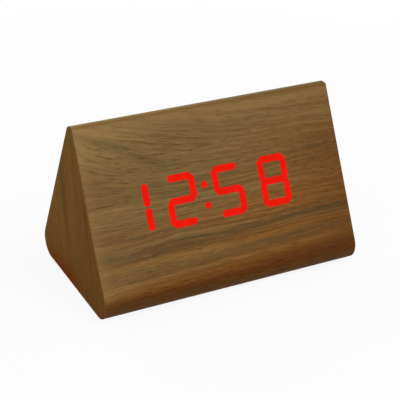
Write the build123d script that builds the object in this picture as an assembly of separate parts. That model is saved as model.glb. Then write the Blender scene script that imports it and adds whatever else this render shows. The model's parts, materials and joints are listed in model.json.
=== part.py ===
from build123d import *

import os
from math import acos, atan2, cos, hypot, sin, sqrt

# Lengths are in millimetres. The clock stands on Z = 0, its length runs along X
# and its display looks towards -Y. Depths are measured inwards from a sloping face.

# Case: a rounded triangular prism of fibreboard under a wood skin
CASE_LENGTH = 125.0
CASE_DEPTH = 71.5
CASE_HEIGHT = 77.0
FOOT_RADIUS = 7.7
RIDGE_RADIUS = 2.0
WALL = 5.0
CAVITY_RADIUS = 3.0
VENEER = 0.5
ARRIS = 0.35
END_BOARD = 6.0
END_PLUG = 3.0
PLUG_CLEARANCE = 0.2
OVERRUN = 1.0

# Display: a leading one, three full figures and a colon, made of bar segments
BAR_STROKE = 2.3
DIGIT_WIDTH = 13.9
DIGIT_HEIGHT = 22.1
DIGIT_PITCH = 22.8
LEADING_GAP = 8.2
TIP_GAP = 0.25
WAIST_GAP = 0.75
COLON_DIAMETER = 2.4
COLON_SPACING = 9.1
GLOW_SPREAD = 0.4
GLOW_DEPTH = 0.3
GLOW_CLEARANCE = 0.02
DISPLAY_DROP = 1.5
DISPLAY_SHIFT = 1.0
HOUSING_MARGIN = 2.5
HOUSING_DEPTH = 7.0
HOUSING_CLEARANCE = 0.3
HOUSING_CORNER = 1.0
GUIDE_DEPTH = 4.0
GUIDE_CLEARANCE = 0.04
LED_LENGTH = 1.6
LED_WIDTH = 0.8
LED_HEIGHT = 0.7
FULL_FIGURES = "258"
ALL_BARS = "abcdefg"
LIT_BARS = {"1": "bc", "2": "abged", "5": "afgcd", "8": ALL_BARS}

# Screws: one size of pan-head screw holds boards and panel
SCREW_SHANK = 2.2
SCREW_HEAD = 4.2
SCREW_HEAD_HEIGHT = 1.5
SCREW_GRIP = 3.5
SCREW_SINK = 1.8
SCREW_CLEARANCE = 0.1
DRIVE_LENGTH = 2.4
DRIVE_WIDTH = 0.7
DRIVE_DEPTH = 0.8

# Main board behind the display, with its parts at shares of the half sizes of the board
BOARD_THICKNESS = 1.6
BOARD_LIP = 5.0
BOARD_END = 1.0
BOARD_CORNER = 1.5
SPACER_DIAMETER = 4.2
CHIP_WIDTH = 7.5
CHIP_HEIGHT = 2.4
CHIP_LIFT = 0.2
DRIVER_PIN_COUNT = 14
CLOCK_PIN_COUNT = 10
PIN_SPACING = 1.27
PIN_WIDTH = 0.45
PIN_REACH = 1.4
PIN_HEIGHT = 0.8
CRYSTAL_DIAMETER = 2.0
CRYSTAL_LENGTH = 6.0
BUZZER_DIAMETER = 12.0
BUZZER_HEIGHT = 6.5
BUZZER_HOLE = 2.0
BUZZER_HOLE_DEPTH = 2.0
CAPACITOR_DIAMETER = 5.0
CAPACITOR_HEIGHT = 7.0
CAPACITOR_EDGE = 0.5
DRIVER_PLACE_SHARES = (-0.38, 0.30)
CLOCK_PLACE_SHARES = (0.20, 0.30)
CRYSTAL_PLACE_SHARES = (0.52, 0.30)
BUZZER_PLACE_SHARES = (0.60, -0.40)
CAPACITOR_PLACE_SHARES = ((0.02, -0.45), (0.20, -0.45))

# Battery well: three AAA cells side by side, in series
CELL_COUNT = 3
CELL_DIAMETER = 10.5
CELL_LENGTH = 44.5
CELL_NUB_DIAMETER = 3.8
CELL_NUB_HEIGHT = 0.8
CELL_EDGE = 0.5
CELL_GAP = 0.5
CELL_PLAY = 0.2
TRAY_SIDE_GAP = 0.4
TRAY_WALL = 1.2
TRAY_FLOOR = 1.2
TRAY_RIB_WIDTH = 1.6
TRAY_RIB_HEIGHT = 2.0
RIM_WIDTH = 1.0
RIM_THICKNESS = 1.6
CONTACT_SHEET = 0.4
CONTACT_WIDTH = 8.0
SPRING_ROOM = 3.5
SPRING_PLAY = 0.1
SPRING_SHEET = 0.3
SPRING_SPAN = 7.0
SPRING_WIDTH = 4.0
TAIL_WIDTH = 3.0
TAIL_REACH = 2.5
TAIL_CLEARANCE = 0.1

# Rear panel, let in flush with the skin, and the hinged lid of the battery well
PANEL_THICKNESS = 3.0
PANEL_CORNER = 3.0
PANEL_CLEARANCE = 0.25
PANEL_RISE = 2.5
PANEL_SIDE_LEDGE = 5.0
PANEL_LONG_LEDGE = 2.5
OPENING_CLEARANCE = 0.3
DOOR_THICKNESS = 2.4
DOOR_RECESS = 0.3
DOOR_CLEARANCE = 0.25
DOOR_LAP = 1.0
HINGE_PIN_DIAMETER = 1.6
HINGE_PIN_REACH = 1.2
HINGE_CLEARANCE = 0.05
SCOOP_WIDTH = 14.0
SCOOP_REACH = 2.6
SCOOP_DEPTH = 1.4
GRIP_COUNT = 4
GRIP_LENGTH = 12.0
GRIP_WIDTH = 0.8
GRIP_PITCH = 2.0

# Keys, control board, power inlet and microphone beside the battery well
BUTTON_DIAMETER = 5.6
BUTTON_PROUD = 1.3
BUTTON_EDGE = 0.4
BUTTON_CLEARANCE = 0.15
BUTTON_TRAVEL = 0.5
BUTTON_PITCH = 7.5
MARK_SIZE = 1.1
MARK_DEPTH = 0.25
FLANGE_OVERHANG = 0.7
FLANGE_THICKNESS = 0.8
FLANGE_GAP = 0.1
STEM_DIAMETER = 3.0
STEM_LENGTH = 1.5
PLUNGER_DIAMETER = 3.4
PLUNGER_PROUD = 1.0
PLUNGER_DEPTH = 0.4
PLUNGER_CLEARANCE = 0.1
SWITCH_WIDTH = 6.0
SWITCH_HEIGHT = 3.5
CONTROL_MARGIN = 1.0
CONTROL_HEIGHT = 35.0
CONTROL_GAP = 1.0
CONTROL_CLEARANCE = 1.0
BOSS_DIAMETER = 4.8
BOSS_INSET = 3.0
SOCKET_WIDTH = 6.6
SOCKET_LENGTH = 9.0
SOCKET_NOSE = 6.2
SOCKET_BORE = 3.7
SOCKET_DEPTH = 8.5
SOCKET_CLEARANCE = 0.15
SOCKET_PIN = 1.3
SOCKET_PIN_RECESS = 1.0
SOCKET_PIN_TIP = 0.2
MICROPHONE_DIAMETER = 6.0
MICROPHONE_HEIGHT = 5.0
MICROPHONE_HOLE = 1.2

# Wiring: a flat cable between the boards and two leads from the battery well
RIBBON_WIDTH = 8.0
RIBBON_THICKNESS = 0.5
RIBBON_RISE = 26.0
CONNECTOR_LENGTH = 11.0
CONNECTOR_WIDTH = 4.0
CONNECTOR_MOUTH = 14.5
LEAD_DIAMETER = 1.2
LEAD_BEND = 4.0
LEAD_INSET = 3.6

# Section of the case, worked out from its three rounded corners
foot_y = CASE_DEPTH / 2 - FOOT_RADIUS
corner_rise = CASE_HEIGHT - RIDGE_RADIUS - FOOT_RADIUS
corner_span = hypot(foot_y, corner_rise)
radius_step = FOOT_RADIUS - RIDGE_RADIUS
normal_angle = atan2(corner_rise, foot_y) + acos(radius_step / corner_span)
normal_y = cos(normal_angle)
normal_z = sin(normal_angle)
face_length = sqrt(corner_span**2 - radius_step**2)
face_reach = FOOT_RADIUS * (1 + normal_z) - foot_y * normal_y
skin_length = CASE_LENGTH - 2 * VENEER
tube_length = skin_length - 2 * END_BOARD
wall_depth = VENEER + WALL

# Display block and main board
display_width = BAR_STROKE + LEADING_GAP + DIGIT_WIDTH + 2 * DIGIT_PITCH
leading_x = (BAR_STROKE - display_width) / 2
first_digit_x = leading_x + BAR_STROKE / 2 + LEADING_GAP + DIGIT_WIDTH / 2
colon_x = first_digit_x + DIGIT_PITCH / 2
column_x = (DIGIT_WIDTH - BAR_STROKE) / 2
row_y = (DIGIT_HEIGHT - BAR_STROKE) / 2
housing_width = display_width + 2 * HOUSING_MARGIN
housing_height = DIGIT_HEIGHT + 2 * HOUSING_MARGIN
board_width = housing_width + 2 * BOARD_END
board_height = housing_height + 2 * BOARD_LIP
board_front = VENEER + HOUSING_DEPTH
board_back = board_front + BOARD_THICKNESS
front_rise = face_length / 2 - DISPLAY_DROP

# Battery well, control board and panel
cell_pitch = CELL_DIAMETER + CELL_GAP
tray_inner_x = CONTACT_SHEET + CELL_LENGTH + SPRING_ROOM
tray_inner_y = CELL_COUNT * cell_pitch - CELL_GAP + 2 * TRAY_SIDE_GAP
tray_outer_x = tray_inner_x + 2 * TRAY_WALL
tray_outer_y = tray_inner_y + 2 * TRAY_WALL
rim_x = tray_outer_x + 2 * RIM_WIDTH
rim_y = tray_outer_y + 2 * RIM_WIDTH
cell_axis = PANEL_THICKNESS + CELL_PLAY + CELL_DIAMETER / 2
tray_bed = cell_axis + CELL_DIAMETER / 2 + CELL_PLAY
tray_back = tray_bed + TRAY_FLOOR
control_width = 2 * BUTTON_PITCH + SWITCH_WIDTH + 2 * CONTROL_MARGIN
opening_x = rim_x + CONTROL_GAP + control_width + 2 * OPENING_CLEARANCE
opening_y = rim_y + 2 * OPENING_CLEARANCE
panel_x = opening_x + 2 * PANEL_SIDE_LEDGE
panel_y = opening_y + 2 * PANEL_LONG_LEDGE
tray_x = (rim_x - opening_x) / 2 + OPENING_CLEARANCE
control_x = (opening_x - control_width) / 2 - OPENING_CLEARANCE
control_free_y = CONTROL_HEIGHT / 2 - BOSS_INSET - BOSS_DIAMETER / 2 - CONTROL_CLEARANCE
button_y = control_free_y - SWITCH_WIDTH / 2
inlet_y = SOCKET_LENGTH / 2 - control_free_y
socket_place = (control_x - control_width / 4, inlet_y)
microphone_place = (control_x + control_width / 4, inlet_y)
rear_rise = PANEL_RISE + panel_y / 2
door_opening_x = tray_inner_x + 2 * DOOR_LAP
door_opening_y = tray_inner_y + 2 * DOOR_LAP
door_x = door_opening_x - 2 * DOOR_CLEARANCE
door_y = door_opening_y - 2 * DOOR_CLEARANCE
hinge_y = (DOOR_THICKNESS - door_y) / 2
hinge_depth = DOOR_RECESS + DOOR_THICKNESS / 2
scoop_radius = (SCOOP_REACH + SCOOP_WIDTH**2 / (4 * SCOOP_REACH)) / 2

# Depths of the key train, from the panel to the control board
flange_depth = PANEL_THICKNESS + FLANGE_GAP
stem_depth = flange_depth + FLANGE_THICKNESS
stem_end = stem_depth + STEM_LENGTH
switch_depth = stem_end + PLUNGER_PROUD
control_front = switch_depth + SWITCH_HEIGHT
control_back = control_front + BOARD_THICKNESS

# Working planes on the two sloping faces
front_y = -foot_y + FOOT_RADIUS * normal_y + front_rise * normal_z
front_z = FOOT_RADIUS * (1 + normal_z) - front_rise * normal_y
rear_y = foot_y - FOOT_RADIUS * normal_y - rear_rise * normal_z
rear_z = FOOT_RADIUS * (1 + normal_z) - rear_rise * normal_y
FRONT = Plane((-DISPLAY_SHIFT, front_y, front_z), x_dir=(1, 0, 0), z_dir=(0, normal_y, normal_z))
REAR = Plane((0, rear_y, rear_z), x_dir=(-1, 0, 0), z_dir=(0, -normal_y, normal_z))


def case_section(inset, foot_radius, ridge_radius):
    """Triangle of the case, each side moved in by the inset, with rounded corners."""
    reach = face_reach - inset
    corner_y = (reach - inset * normal_z) / -normal_y
    section = Polygon((-corner_y, inset), (corner_y, inset), (0, reach / normal_z))
    section = fillet(section.vertices().sort_by(Axis.Y)[:2], foot_radius)
    return fillet(section.vertices().sort_by(Axis.Y)[-1], ridge_radius)


def prism(section, start, length):
    """Solid of a section of the case, run along X."""
    return extrude(Plane.YZ.offset(start) * section, amount=length)


def slab(plane, sketch, near, far):
    """Solid of a sketch on a sloping face, between two depths below that face."""
    return extrude(plane.offset(-far) * sketch, amount=far - near)


def corners(width, height):
    """The four corner points of a centred rectangle."""
    return [(x, y) for x in (-width / 2, width / 2) for y in (-height / 2, height / 2)]


def spread(places, sketch):
    """The same sketch at several places."""
    return [Pos(x, y) * sketch for x, y in places]


def skin_section():
    """Outer outline of the case."""
    return case_section(0, FOOT_RADIUS, RIDGE_RADIUS)


def core_section():
    """Outline of the fibreboard under the skin."""
    return case_section(VENEER, FOOT_RADIUS - VENEER, RIDGE_RADIUS - VENEER)


def hollow_section(clearance):
    """Outline of the space inside the tube, less a clearance."""
    return case_section(wall_depth + clearance, CAVITY_RADIUS, CAVITY_RADIUS)


def bar(length):
    """One bar segment, lying along X, with pointed ends."""
    tip = length / 2
    side = BAR_STROKE / 2
    shoulder = tip - side
    return Polygon(
        (-tip, 0), (-shoulder, -side), (shoulder, -side), (tip, 0), (shoulder, side), (-shoulder, side)
    )


def figure_bars(centre_x):
    """The seven bars of a figure, by letter: a at the top, clockwise, g in the middle."""
    flat = bar(2 * column_x - 2 * TIP_GAP)
    upright = Rot(Z=90) * bar(row_y - TIP_GAP - WAIST_GAP)
    upright_y = (row_y - TIP_GAP + WAIST_GAP) / 2
    places = {
        "a": (0, row_y, flat),
        "b": (column_x, upright_y, upright),
        "c": (column_x, -upright_y, upright),
        "d": (0, -row_y, flat),
        "e": (-column_x, -upright_y, upright),
        "f": (-column_x, upright_y, upright),
        "g": (0, 0, flat),
    }
    return {name: Pos(centre_x + x, y) * shape for name, (x, y, shape) in places.items()}


def figures():
    """Each figure shown, with all of its bars: the leading one has only its two."""
    leading = figure_bars(leading_x - column_x)
    shown = [("1", {name: leading[name] for name in LIT_BARS["1"]})]
    for index, figure in enumerate(FULL_FIGURES):
        shown.append((figure, figure_bars(first_digit_x + index * DIGIT_PITCH)))
    return shown


def colon_dots():
    """The two dots between the hours and the minutes."""
    places = [(colon_x, side * COLON_SPACING / 2) for side in (-1, 1)]
    return spread(places, Circle(COLON_DIAMETER / 2))


def lit_shapes():
    """Sketches of the bars and dots that are lit."""
    bars = [bars[name] for figure, bars in figures() for name in LIT_BARS[figure]]
    return bars + colon_dots()


def dark_shapes():
    """Sketches of the bars that are off."""
    return [bars[name] for figure, bars in figures() for name in bars if name not in LIT_BARS[figure]]


def glow_shapes(clearance):
    """Sketches of the lit figures as they show through the skin, a little spread."""
    groups = [[bars[name] for name in LIT_BARS[figure]] for figure, bars in figures()]
    groups.append(colon_dots())
    grown = GLOW_SPREAD + clearance
    return [Sketch() + [offset(shape, grown) for shape in group] for group in groups]


def screw(plane, place, seat, length, side):
    """Pan-head screw with a cross recess: side 1 is driven inwards, side -1 outwards."""
    x, y = place

    def turned(radius_sketch, start, end):
        near, far = sorted((seat + side * start, seat + side * end))
        return slab(plane, Pos(x, y) * radius_sketch, near, far)

    head = turned(Circle(SCREW_HEAD / 2), 0, -SCREW_HEAD_HEIGHT)
    shank = turned(Circle(SCREW_SHANK / 2), 0, length)
    cross = Rectangle(DRIVE_LENGTH, DRIVE_WIDTH) + Rectangle(DRIVE_WIDTH, DRIVE_LENGTH)
    recess = turned(cross, DRIVE_DEPTH - SCREW_HEAD_HEIGHT, -SCREW_HEAD_HEIGHT - OVERRUN)
    return head + shank - recess


def screw_holes(plane, places, near, far):
    """Holes for screw shanks, with their clearance."""
    hole = Circle(SCREW_SHANK / 2 + SCREW_CLEARANCE)
    return [slab(plane, shape, near, far) for shape in spread(places, hole)]


def board_screw_places():
    """Screws of the main board, in the middle of its upper and lower lips."""
    return corners(board_width - BOARD_LIP, board_height - BOARD_LIP)


def panel_screw_places():
    """Screws of the rear panel, on its side ledges."""
    return corners(panel_x - PANEL_SIDE_LEDGE, opening_y - 2 * BOSS_INSET)


def control_screw_places():
    """Screws of the control board, on the bosses of the panel."""
    inner = corners(control_width - 2 * BOSS_INSET, CONTROL_HEIGHT - 2 * BOSS_INSET)
    return [(control_x + x, y) for x, y in inner]


def button_places():
    """Keys from left to right as seen from behind: set, down, up."""
    return [(control_x + step * BUTTON_PITCH, button_y) for step in (-1, 0, 1)]


def case_shell():
    """Triangular tube with the display window and the stepped opening at the rear."""
    shell = prism(core_section(), -tube_length / 2, tube_length)
    shell -= prism(hollow_section(0), -tube_length / 2 - OVERRUN, tube_length + 2 * OVERRUN)
    window = RectangleRounded(
        housing_width + 2 * HOUSING_CLEARANCE,
        housing_height + 2 * HOUSING_CLEARANCE,
        HOUSING_CORNER,
    )
    shell -= slab(FRONT, window, -OVERRUN, wall_depth + OVERRUN)
    shell -= slab(REAR, panel_outline(PANEL_CLEARANCE), -OVERRUN, PANEL_THICKNESS)
    shell -= slab(REAR, Rectangle(opening_x, opening_y), -OVERRUN, wall_depth + OVERRUN)
    shell -= screw_holes(FRONT, board_screw_places(), wall_depth - SCREW_GRIP, wall_depth + OVERRUN)
    shell -= screw_holes(REAR, panel_screw_places(), 0, wall_depth + OVERRUN)
    return shell


def end_board(side):
    """Fibreboard end with the plug that centres it in the tube."""
    start = tube_length / 2
    board = prism(core_section(), start, END_BOARD)
    board += prism(hollow_section(PLUG_CLEARANCE), start - END_PLUG, END_PLUG)
    return board if side > 0 else mirror(board, about=Plane.YZ)


def end_veneer(side):
    """Skin of one end, with its outer edge broken."""
    sheet = prism(skin_section(), skin_length / 2, VENEER)
    sheet = fillet(sheet.edges().group_by(Axis.X)[-1], ARRIS)
    return sheet if side > 0 else mirror(sheet, about=Plane.YZ)


def veneer_wrap():
    """Skin over front, ridge and back, sunk for the lit figures and cut out for the panel."""
    start = -skin_length / 2
    wrap = prism(skin_section(), start, skin_length)
    wrap -= prism(core_section(), start - OVERRUN, skin_length + 2 * OVERRUN)
    base_cut = Polygon(
        (-foot_y, -OVERRUN), (foot_y, -OVERRUN), (foot_y, VENEER + OVERRUN), (-foot_y, VENEER + OVERRUN)
    )
    wrap -= prism(base_cut, start - OVERRUN, skin_length + 2 * OVERRUN)
    wrap -= slab(REAR, panel_outline(PANEL_CLEARANCE), -OVERRUN, VENEER + OVERRUN)
    wrap -= [slab(FRONT, shape, -OVERRUN, GLOW_DEPTH) for shape in glow_shapes(GLOW_CLEARANCE)]
    return wrap


def base_veneer():
    """Flat skin of the underside, between the two rounded lower edges."""
    return Pos(0, 0, VENEER / 2) * Box(skin_length, 2 * foot_y, VENEER)


def glow_windows():
    """The lit figures and the colon as they show through the skin."""
    return [slab(FRONT, shape, 0, GLOW_DEPTH) for shape in glow_shapes(0)]


def display_housing():
    """Moulded block behind the skin with one well for each bar and dot."""
    block = RectangleRounded(housing_width, housing_height, HOUSING_CORNER)
    housing = slab(FRONT, block, VENEER, board_front)
    wells = [offset(shape, GUIDE_CLEARANCE) for shape in lit_shapes() + dark_shapes()]
    return housing - [slab(FRONT, well, VENEER - OVERRUN, board_front + OVERRUN) for well in wells]


def light_guides(shapes):
    """Clear fillings of the wells, flush with the front of the housing."""
    return [slab(FRONT, shape, VENEER, VENEER + GUIDE_DEPTH) for shape in shapes]


def segment_leds():
    """One LED on the board under each bar and dot."""
    chips = []
    for shape in lit_shapes() + dark_shapes():
        size = shape.bounding_box().size
        long_x = size.X >= size.Y
        chip = Rectangle(LED_LENGTH, LED_WIDTH) if long_x else Rectangle(LED_WIDTH, LED_LENGTH)
        middle = shape.center()
        chips.append(slab(FRONT, Pos(middle.X, middle.Y) * chip, board_front - LED_HEIGHT, board_front))
    return chips


def main_board():
    """Circuit board behind the display block."""
    outline = RectangleRounded(board_width, board_height, BOARD_CORNER)
    board = slab(FRONT, outline, board_front, board_back)
    return board - screw_holes(FRONT, board_screw_places(), board_front - OVERRUN, board_back + OVERRUN)


def board_spacers():
    """Sleeves that hold the main board off the front wall."""
    ring = Circle(SPACER_DIAMETER / 2) - Circle(SCREW_SHANK / 2 + SCREW_CLEARANCE)
    return [slab(FRONT, shape, wall_depth, board_front) for shape in spread(board_screw_places(), ring)]


def board_screws():
    """Screws through the main board and its sleeves into the front wall."""
    length = board_back - wall_depth + SCREW_GRIP
    return [screw(FRONT, place, board_back, length, -1) for place in board_screw_places()]


def board_place(shares):
    """Point on the main board from shares of its half sizes."""
    return (shares[0] * board_width / 2, shares[1] * board_height / 2)


def chip(shares, pins):
    """Chip on the back of the main board with a row of pins along each side."""
    x, y = board_place(shares)
    body = Pos(x, y) * Rectangle(pins * PIN_SPACING, CHIP_WIDTH)
    solid = slab(FRONT, body, board_back + CHIP_LIFT, board_back + CHIP_HEIGHT)
    foot = Rectangle(PIN_WIDTH, CHIP_WIDTH + 2 * PIN_REACH)
    for index in range(pins):
        pin_x = x + (index - (pins - 1) / 2) * PIN_SPACING
        solid += slab(FRONT, Pos(pin_x, y) * foot, board_back, board_back + PIN_HEIGHT)
    return solid


def crystal():
    """Can of the timing crystal, lying on the main board."""
    x, y = board_place(CRYSTAL_PLACE_SHARES)
    radius = CRYSTAL_DIAMETER / 2
    lying = Pos(x - CRYSTAL_LENGTH / 2, y, -board_back - radius) * Rot(Y=90) * Circle(radius)
    return extrude(FRONT * lying, amount=CRYSTAL_LENGTH, dir=(1, 0, 0))


def buzzer():
    """Alarm sounder with its sound hole."""
    place = Pos(*board_place(BUZZER_PLACE_SHARES))
    top = board_back + BUZZER_HEIGHT
    body = slab(FRONT, place * Circle(BUZZER_DIAMETER / 2), board_back, top)
    return body - slab(FRONT, place * Circle(BUZZER_HOLE / 2), top - BUZZER_HOLE_DEPTH, top + OVERRUN)


def capacitors():
    """Two upright can capacitors."""
    cans = []
    for shares in CAPACITOR_PLACE_SHARES:
        outline = Pos(*board_place(shares)) * Circle(CAPACITOR_DIAMETER / 2)
        can = slab(FRONT, outline, board_back, board_back + CAPACITOR_HEIGHT)
        rim = can.edges().filter_by(GeomType.CIRCLE).sort_by(Axis(FRONT.origin, FRONT.z_dir))[0]
        cans.append(fillet(rim, CAPACITOR_EDGE))
    return cans


def connector(plane, x, y, back):
    """Flat-cable connector on the back of a board."""
    return slab(plane, Pos(x, y) * Rectangle(CONNECTOR_LENGTH, CONNECTOR_WIDTH), back, CONNECTOR_MOUTH)


def ribbon_cable():
    """Flat cable in one sagging bend from connector to connector."""
    end_y = foot_y - RIBBON_RISE * normal_z - (FOOT_RADIUS - CONNECTOR_MOUTH) * normal_y
    end_z = FOOT_RADIUS - RIBBON_RISE * normal_y + (FOOT_RADIUS - CONNECTOR_MOUTH) * normal_z
    bend = end_y / normal_z
    centre_z = end_z - bend * normal_y
    arcs = []
    for radius in (bend - RIBBON_THICKNESS / 2, bend + RIBBON_THICKNESS / 2):
        side = (radius * normal_z, centre_z + radius * normal_y)
        arcs.append(ThreePointArc((-side[0], side[1]), (0, centre_z - radius), side))
    inner, outer = arcs
    band = make_face([inner, outer, Line(inner @ 0, outer @ 0), Line(inner @ 1, outer @ 1)])
    return prism(band, -control_x - RIBBON_WIDTH / 2, RIBBON_WIDTH)


def panel_outline(clearance):
    """Outline of the rear panel, grown by a clearance."""
    return RectangleRounded(panel_x + 2 * clearance, panel_y + 2 * clearance, PANEL_CORNER)


def hinge_rod(radius, length):
    """Round bar along the hinge of the lid, centred on the lid."""
    section = Pos(tray_x, hinge_y, -hinge_depth) * Rot(Y=90) * Circle(radius)
    return extrude(REAR * section, amount=length / 2, both=True)


def rear_panel():
    """Panel with the battery opening, key holes, inlet hole and bosses for the control board."""
    panel = slab(REAR, panel_outline(0), 0, PANEL_THICKNESS)
    boss = Circle(BOSS_DIAMETER / 2)
    panel += [slab(REAR, shape, PANEL_THICKNESS, control_front) for shape in spread(control_screw_places(), boss)]
    cuts = [Pos(tray_x, 0) * Rectangle(door_opening_x, door_opening_y)]
    cuts += spread(button_places(), Circle(BUTTON_DIAMETER / 2 + BUTTON_CLEARANCE))
    cuts += spread([socket_place], Circle(SOCKET_NOSE / 2 + SOCKET_CLEARANCE))
    cuts += spread([microphone_place], Circle(MICROPHONE_HOLE / 2))
    panel -= [slab(REAR, cut, -OVERRUN, PANEL_THICKNESS + OVERRUN) for cut in cuts]
    sink = Circle(SCREW_HEAD / 2 + SCREW_CLEARANCE)
    panel -= [slab(REAR, shape, -OVERRUN, SCREW_SINK) for shape in spread(panel_screw_places(), sink)]
    panel -= screw_holes(REAR, panel_screw_places(), -OVERRUN, PANEL_THICKNESS + OVERRUN)
    panel -= screw_holes(REAR, control_screw_places(), control_front - SCREW_GRIP, control_front + OVERRUN)
    scoop = Pos(tray_x, door_opening_y / 2 + SCOOP_REACH - scoop_radius) * Circle(scoop_radius)
    panel -= slab(REAR, scoop, -OVERRUN, SCOOP_DEPTH)
    socket_span = door_opening_x + 2 * (HINGE_PIN_REACH + HINGE_CLEARANCE)
    return panel - hinge_rod(HINGE_PIN_DIAMETER / 2 + HINGE_CLEARANCE, socket_span)


def panel_screws():
    """Screws through the panel into the ledge of the case."""
    length = PANEL_THICKNESS - SCREW_SINK + SCREW_GRIP
    return [screw(REAR, place, SCREW_SINK, length, 1) for place in panel_screw_places()]


def battery_door():
    """Lid with a rounded hinge edge, two hinge pins and finger ridges."""
    plate_y = door_y / 2 - hinge_y
    plate = Pos(tray_x, hinge_y + plate_y / 2) * Rectangle(door_x, plate_y)
    door = slab(REAR, plate, DOOR_RECESS, DOOR_RECESS + DOOR_THICKNESS)
    door += hinge_rod(DOOR_THICKNESS / 2, door_x)
    door += hinge_rod(HINGE_PIN_DIAMETER / 2, door_opening_x + 2 * HINGE_PIN_REACH)
    for index in range(GRIP_COUNT):
        ridge = Pos(tray_x, door_y / 2 - (index + 1) * GRIP_PITCH) * Rectangle(GRIP_LENGTH, GRIP_WIDTH)
        door += slab(REAR, ridge, 0, DOOR_RECESS)
    return door


def cell_y(index):
    """Height of a cell on the panel, from the top one down."""
    return ((CELL_COUNT - 1) / 2 - index) * cell_pitch


def end_side(index):
    """End of the well that the plus pole of a cell faces: -1 left, 1 right."""
    return -1 if index % 2 == 0 else 1


def battery_tray():
    """Well for the cells, with a rim under the panel and ribs between the cells."""
    tray = slab(REAR, Pos(tray_x, 0) * Rectangle(tray_outer_x, tray_outer_y), PANEL_THICKNESS, tray_back)
    tray += slab(REAR, Pos(tray_x, 0) * Rectangle(rim_x, rim_y), PANEL_THICKNESS, PANEL_THICKNESS + RIM_THICKNESS)
    well = Pos(tray_x, 0) * Rectangle(tray_inner_x, tray_inner_y)
    tray -= slab(REAR, well, PANEL_THICKNESS - OVERRUN, tray_bed)
    rib_length = CELL_LENGTH - 2 * SPRING_ROOM
    for index in range(CELL_COUNT - 1):
        rib = Pos(tray_x, cell_y(index) - cell_pitch / 2) * Rectangle(rib_length, TRAY_RIB_WIDTH)
        tray += slab(REAR, rib, tray_bed - TRAY_RIB_HEIGHT, tray_bed)
    for side, index in ((-1, 0), (1, CELL_COUNT - 1)):
        slot = Rectangle(CONTACT_SHEET + 2 * TAIL_CLEARANCE, TAIL_WIDTH + 2 * TAIL_CLEARANCE)
        tray -= slab(REAR, Pos(sheet_x(side), cell_y(index)) * slot, tray_bed - OVERRUN, tray_back + OVERRUN)
    return tray


def sheet_x(side):
    """Middle of a contact sheet standing against one end of the well."""
    return tray_x + side * (tray_inner_x - CONTACT_SHEET) / 2


def contact(side, first, last):
    """Sheet against one end of the well that serves the cells first to last."""
    middle = (cell_y(first) + cell_y(last)) / 2
    width = cell_y(first) - cell_y(last) + CONTACT_WIDTH
    sheet = Pos(sheet_x(side), middle) * Rectangle(CONTACT_SHEET, width)
    solid = slab(REAR, sheet, cell_axis - CONTACT_WIDTH / 2, cell_axis + CONTACT_WIDTH / 2)
    for index in range(first, last + 1):
        if end_side(index) != side:
            solid += leaf_spring(side, index)
    return solid


def leaf_spring(side, index):
    """Bowed leaf that presses on the flat pole of a cell."""
    wall_x = tray_x + side * tray_inner_x / 2
    root_x = wall_x - side * CONTACT_SHEET / 2
    crown_x = wall_x - side * (SPRING_ROOM - SPRING_PLAY)
    half = SPRING_SPAN / 2
    outer = ThreePointArc((root_x, -half), (crown_x, 0), (root_x, half))
    under_x = crown_x + side * SPRING_SHEET
    inner_half = half - SPRING_SHEET
    inner = ThreePointArc((root_x, -inner_half), (under_x, 0), (root_x, inner_half))
    leaf = make_face([outer, inner, Line(outer @ 0, inner @ 0), Line(outer @ 1, inner @ 1)])
    across = Plane(
        REAR.from_local_coords((0, cell_y(index), -cell_axis)), x_dir=REAR.x_dir, z_dir=REAR.y_dir
    )
    return extrude(across * leaf, amount=SPRING_WIDTH / 2, both=True)


def terminal(side, index):
    """Contact of one cell with a tail that comes out behind the well."""
    tail = Pos(sheet_x(side), cell_y(index)) * Rectangle(CONTACT_SHEET, TAIL_WIDTH)
    return contact(side, index, index) + slab(REAR, tail, cell_axis, tray_back + TAIL_REACH)


def battery(index):
    """One cell lying along the well, with its nub towards its plus contact."""
    side = end_side(index)
    can_length = CELL_LENGTH - CELL_NUB_HEIGHT
    nub_end = tray_x + side * (tray_inner_x / 2 - CONTACT_SHEET)
    outline = Polyline(
        (0, 0),
        (CELL_NUB_DIAMETER / 2, 0),
        (CELL_NUB_DIAMETER / 2, -CELL_NUB_HEIGHT),
        (CELL_DIAMETER / 2 - CELL_EDGE, -CELL_NUB_HEIGHT),
        (CELL_DIAMETER / 2, -CELL_NUB_HEIGHT - CELL_EDGE),
        (CELL_DIAMETER / 2, -can_length - CELL_NUB_HEIGHT + CELL_EDGE),
        (CELL_DIAMETER / 2 - CELL_EDGE, -can_length - CELL_NUB_HEIGHT),
        (0, -can_length - CELL_NUB_HEIGHT),
        close=True,
    )
    cell = revolve(Plane.XZ * make_face(outline), axis=Axis.Z)
    end = REAR.from_local_coords((nub_end, cell_y(index), -cell_axis))
    return Plane(end, x_dir=REAR.y_dir, z_dir=side * REAR.x_dir) * cell


def battery_lead(side, index):
    """Wire from a terminal's tail along the back of the well to the control board."""
    start_x = sheet_x(side) + CONTACT_SHEET / 2
    start_y = cell_y(index)
    end_x = control_x - control_width / 2 + LEAD_INSET
    end_y = -side * (control_free_y - LEAD_DIAMETER / 2)
    depth = tray_back + TAIL_REACH / 2
    route = [(start_x, start_y, -depth), (end_x, end_y, -depth), (end_x, end_y, -control_back)]
    path = FilletPolyline(*[REAR.from_local_coords(point) for point in route], radius=LEAD_BEND)
    return sweep(Plane(path @ 0, z_dir=path % 0) * Circle(LEAD_DIAMETER / 2), path=path)


def control_board():
    """Circuit board behind the keys."""
    board = slab(REAR, Pos(control_x, 0) * Rectangle(control_width, CONTROL_HEIGHT), control_front, control_back)
    return board - screw_holes(REAR, control_screw_places(), control_front - OVERRUN, control_back + OVERRUN)


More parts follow.
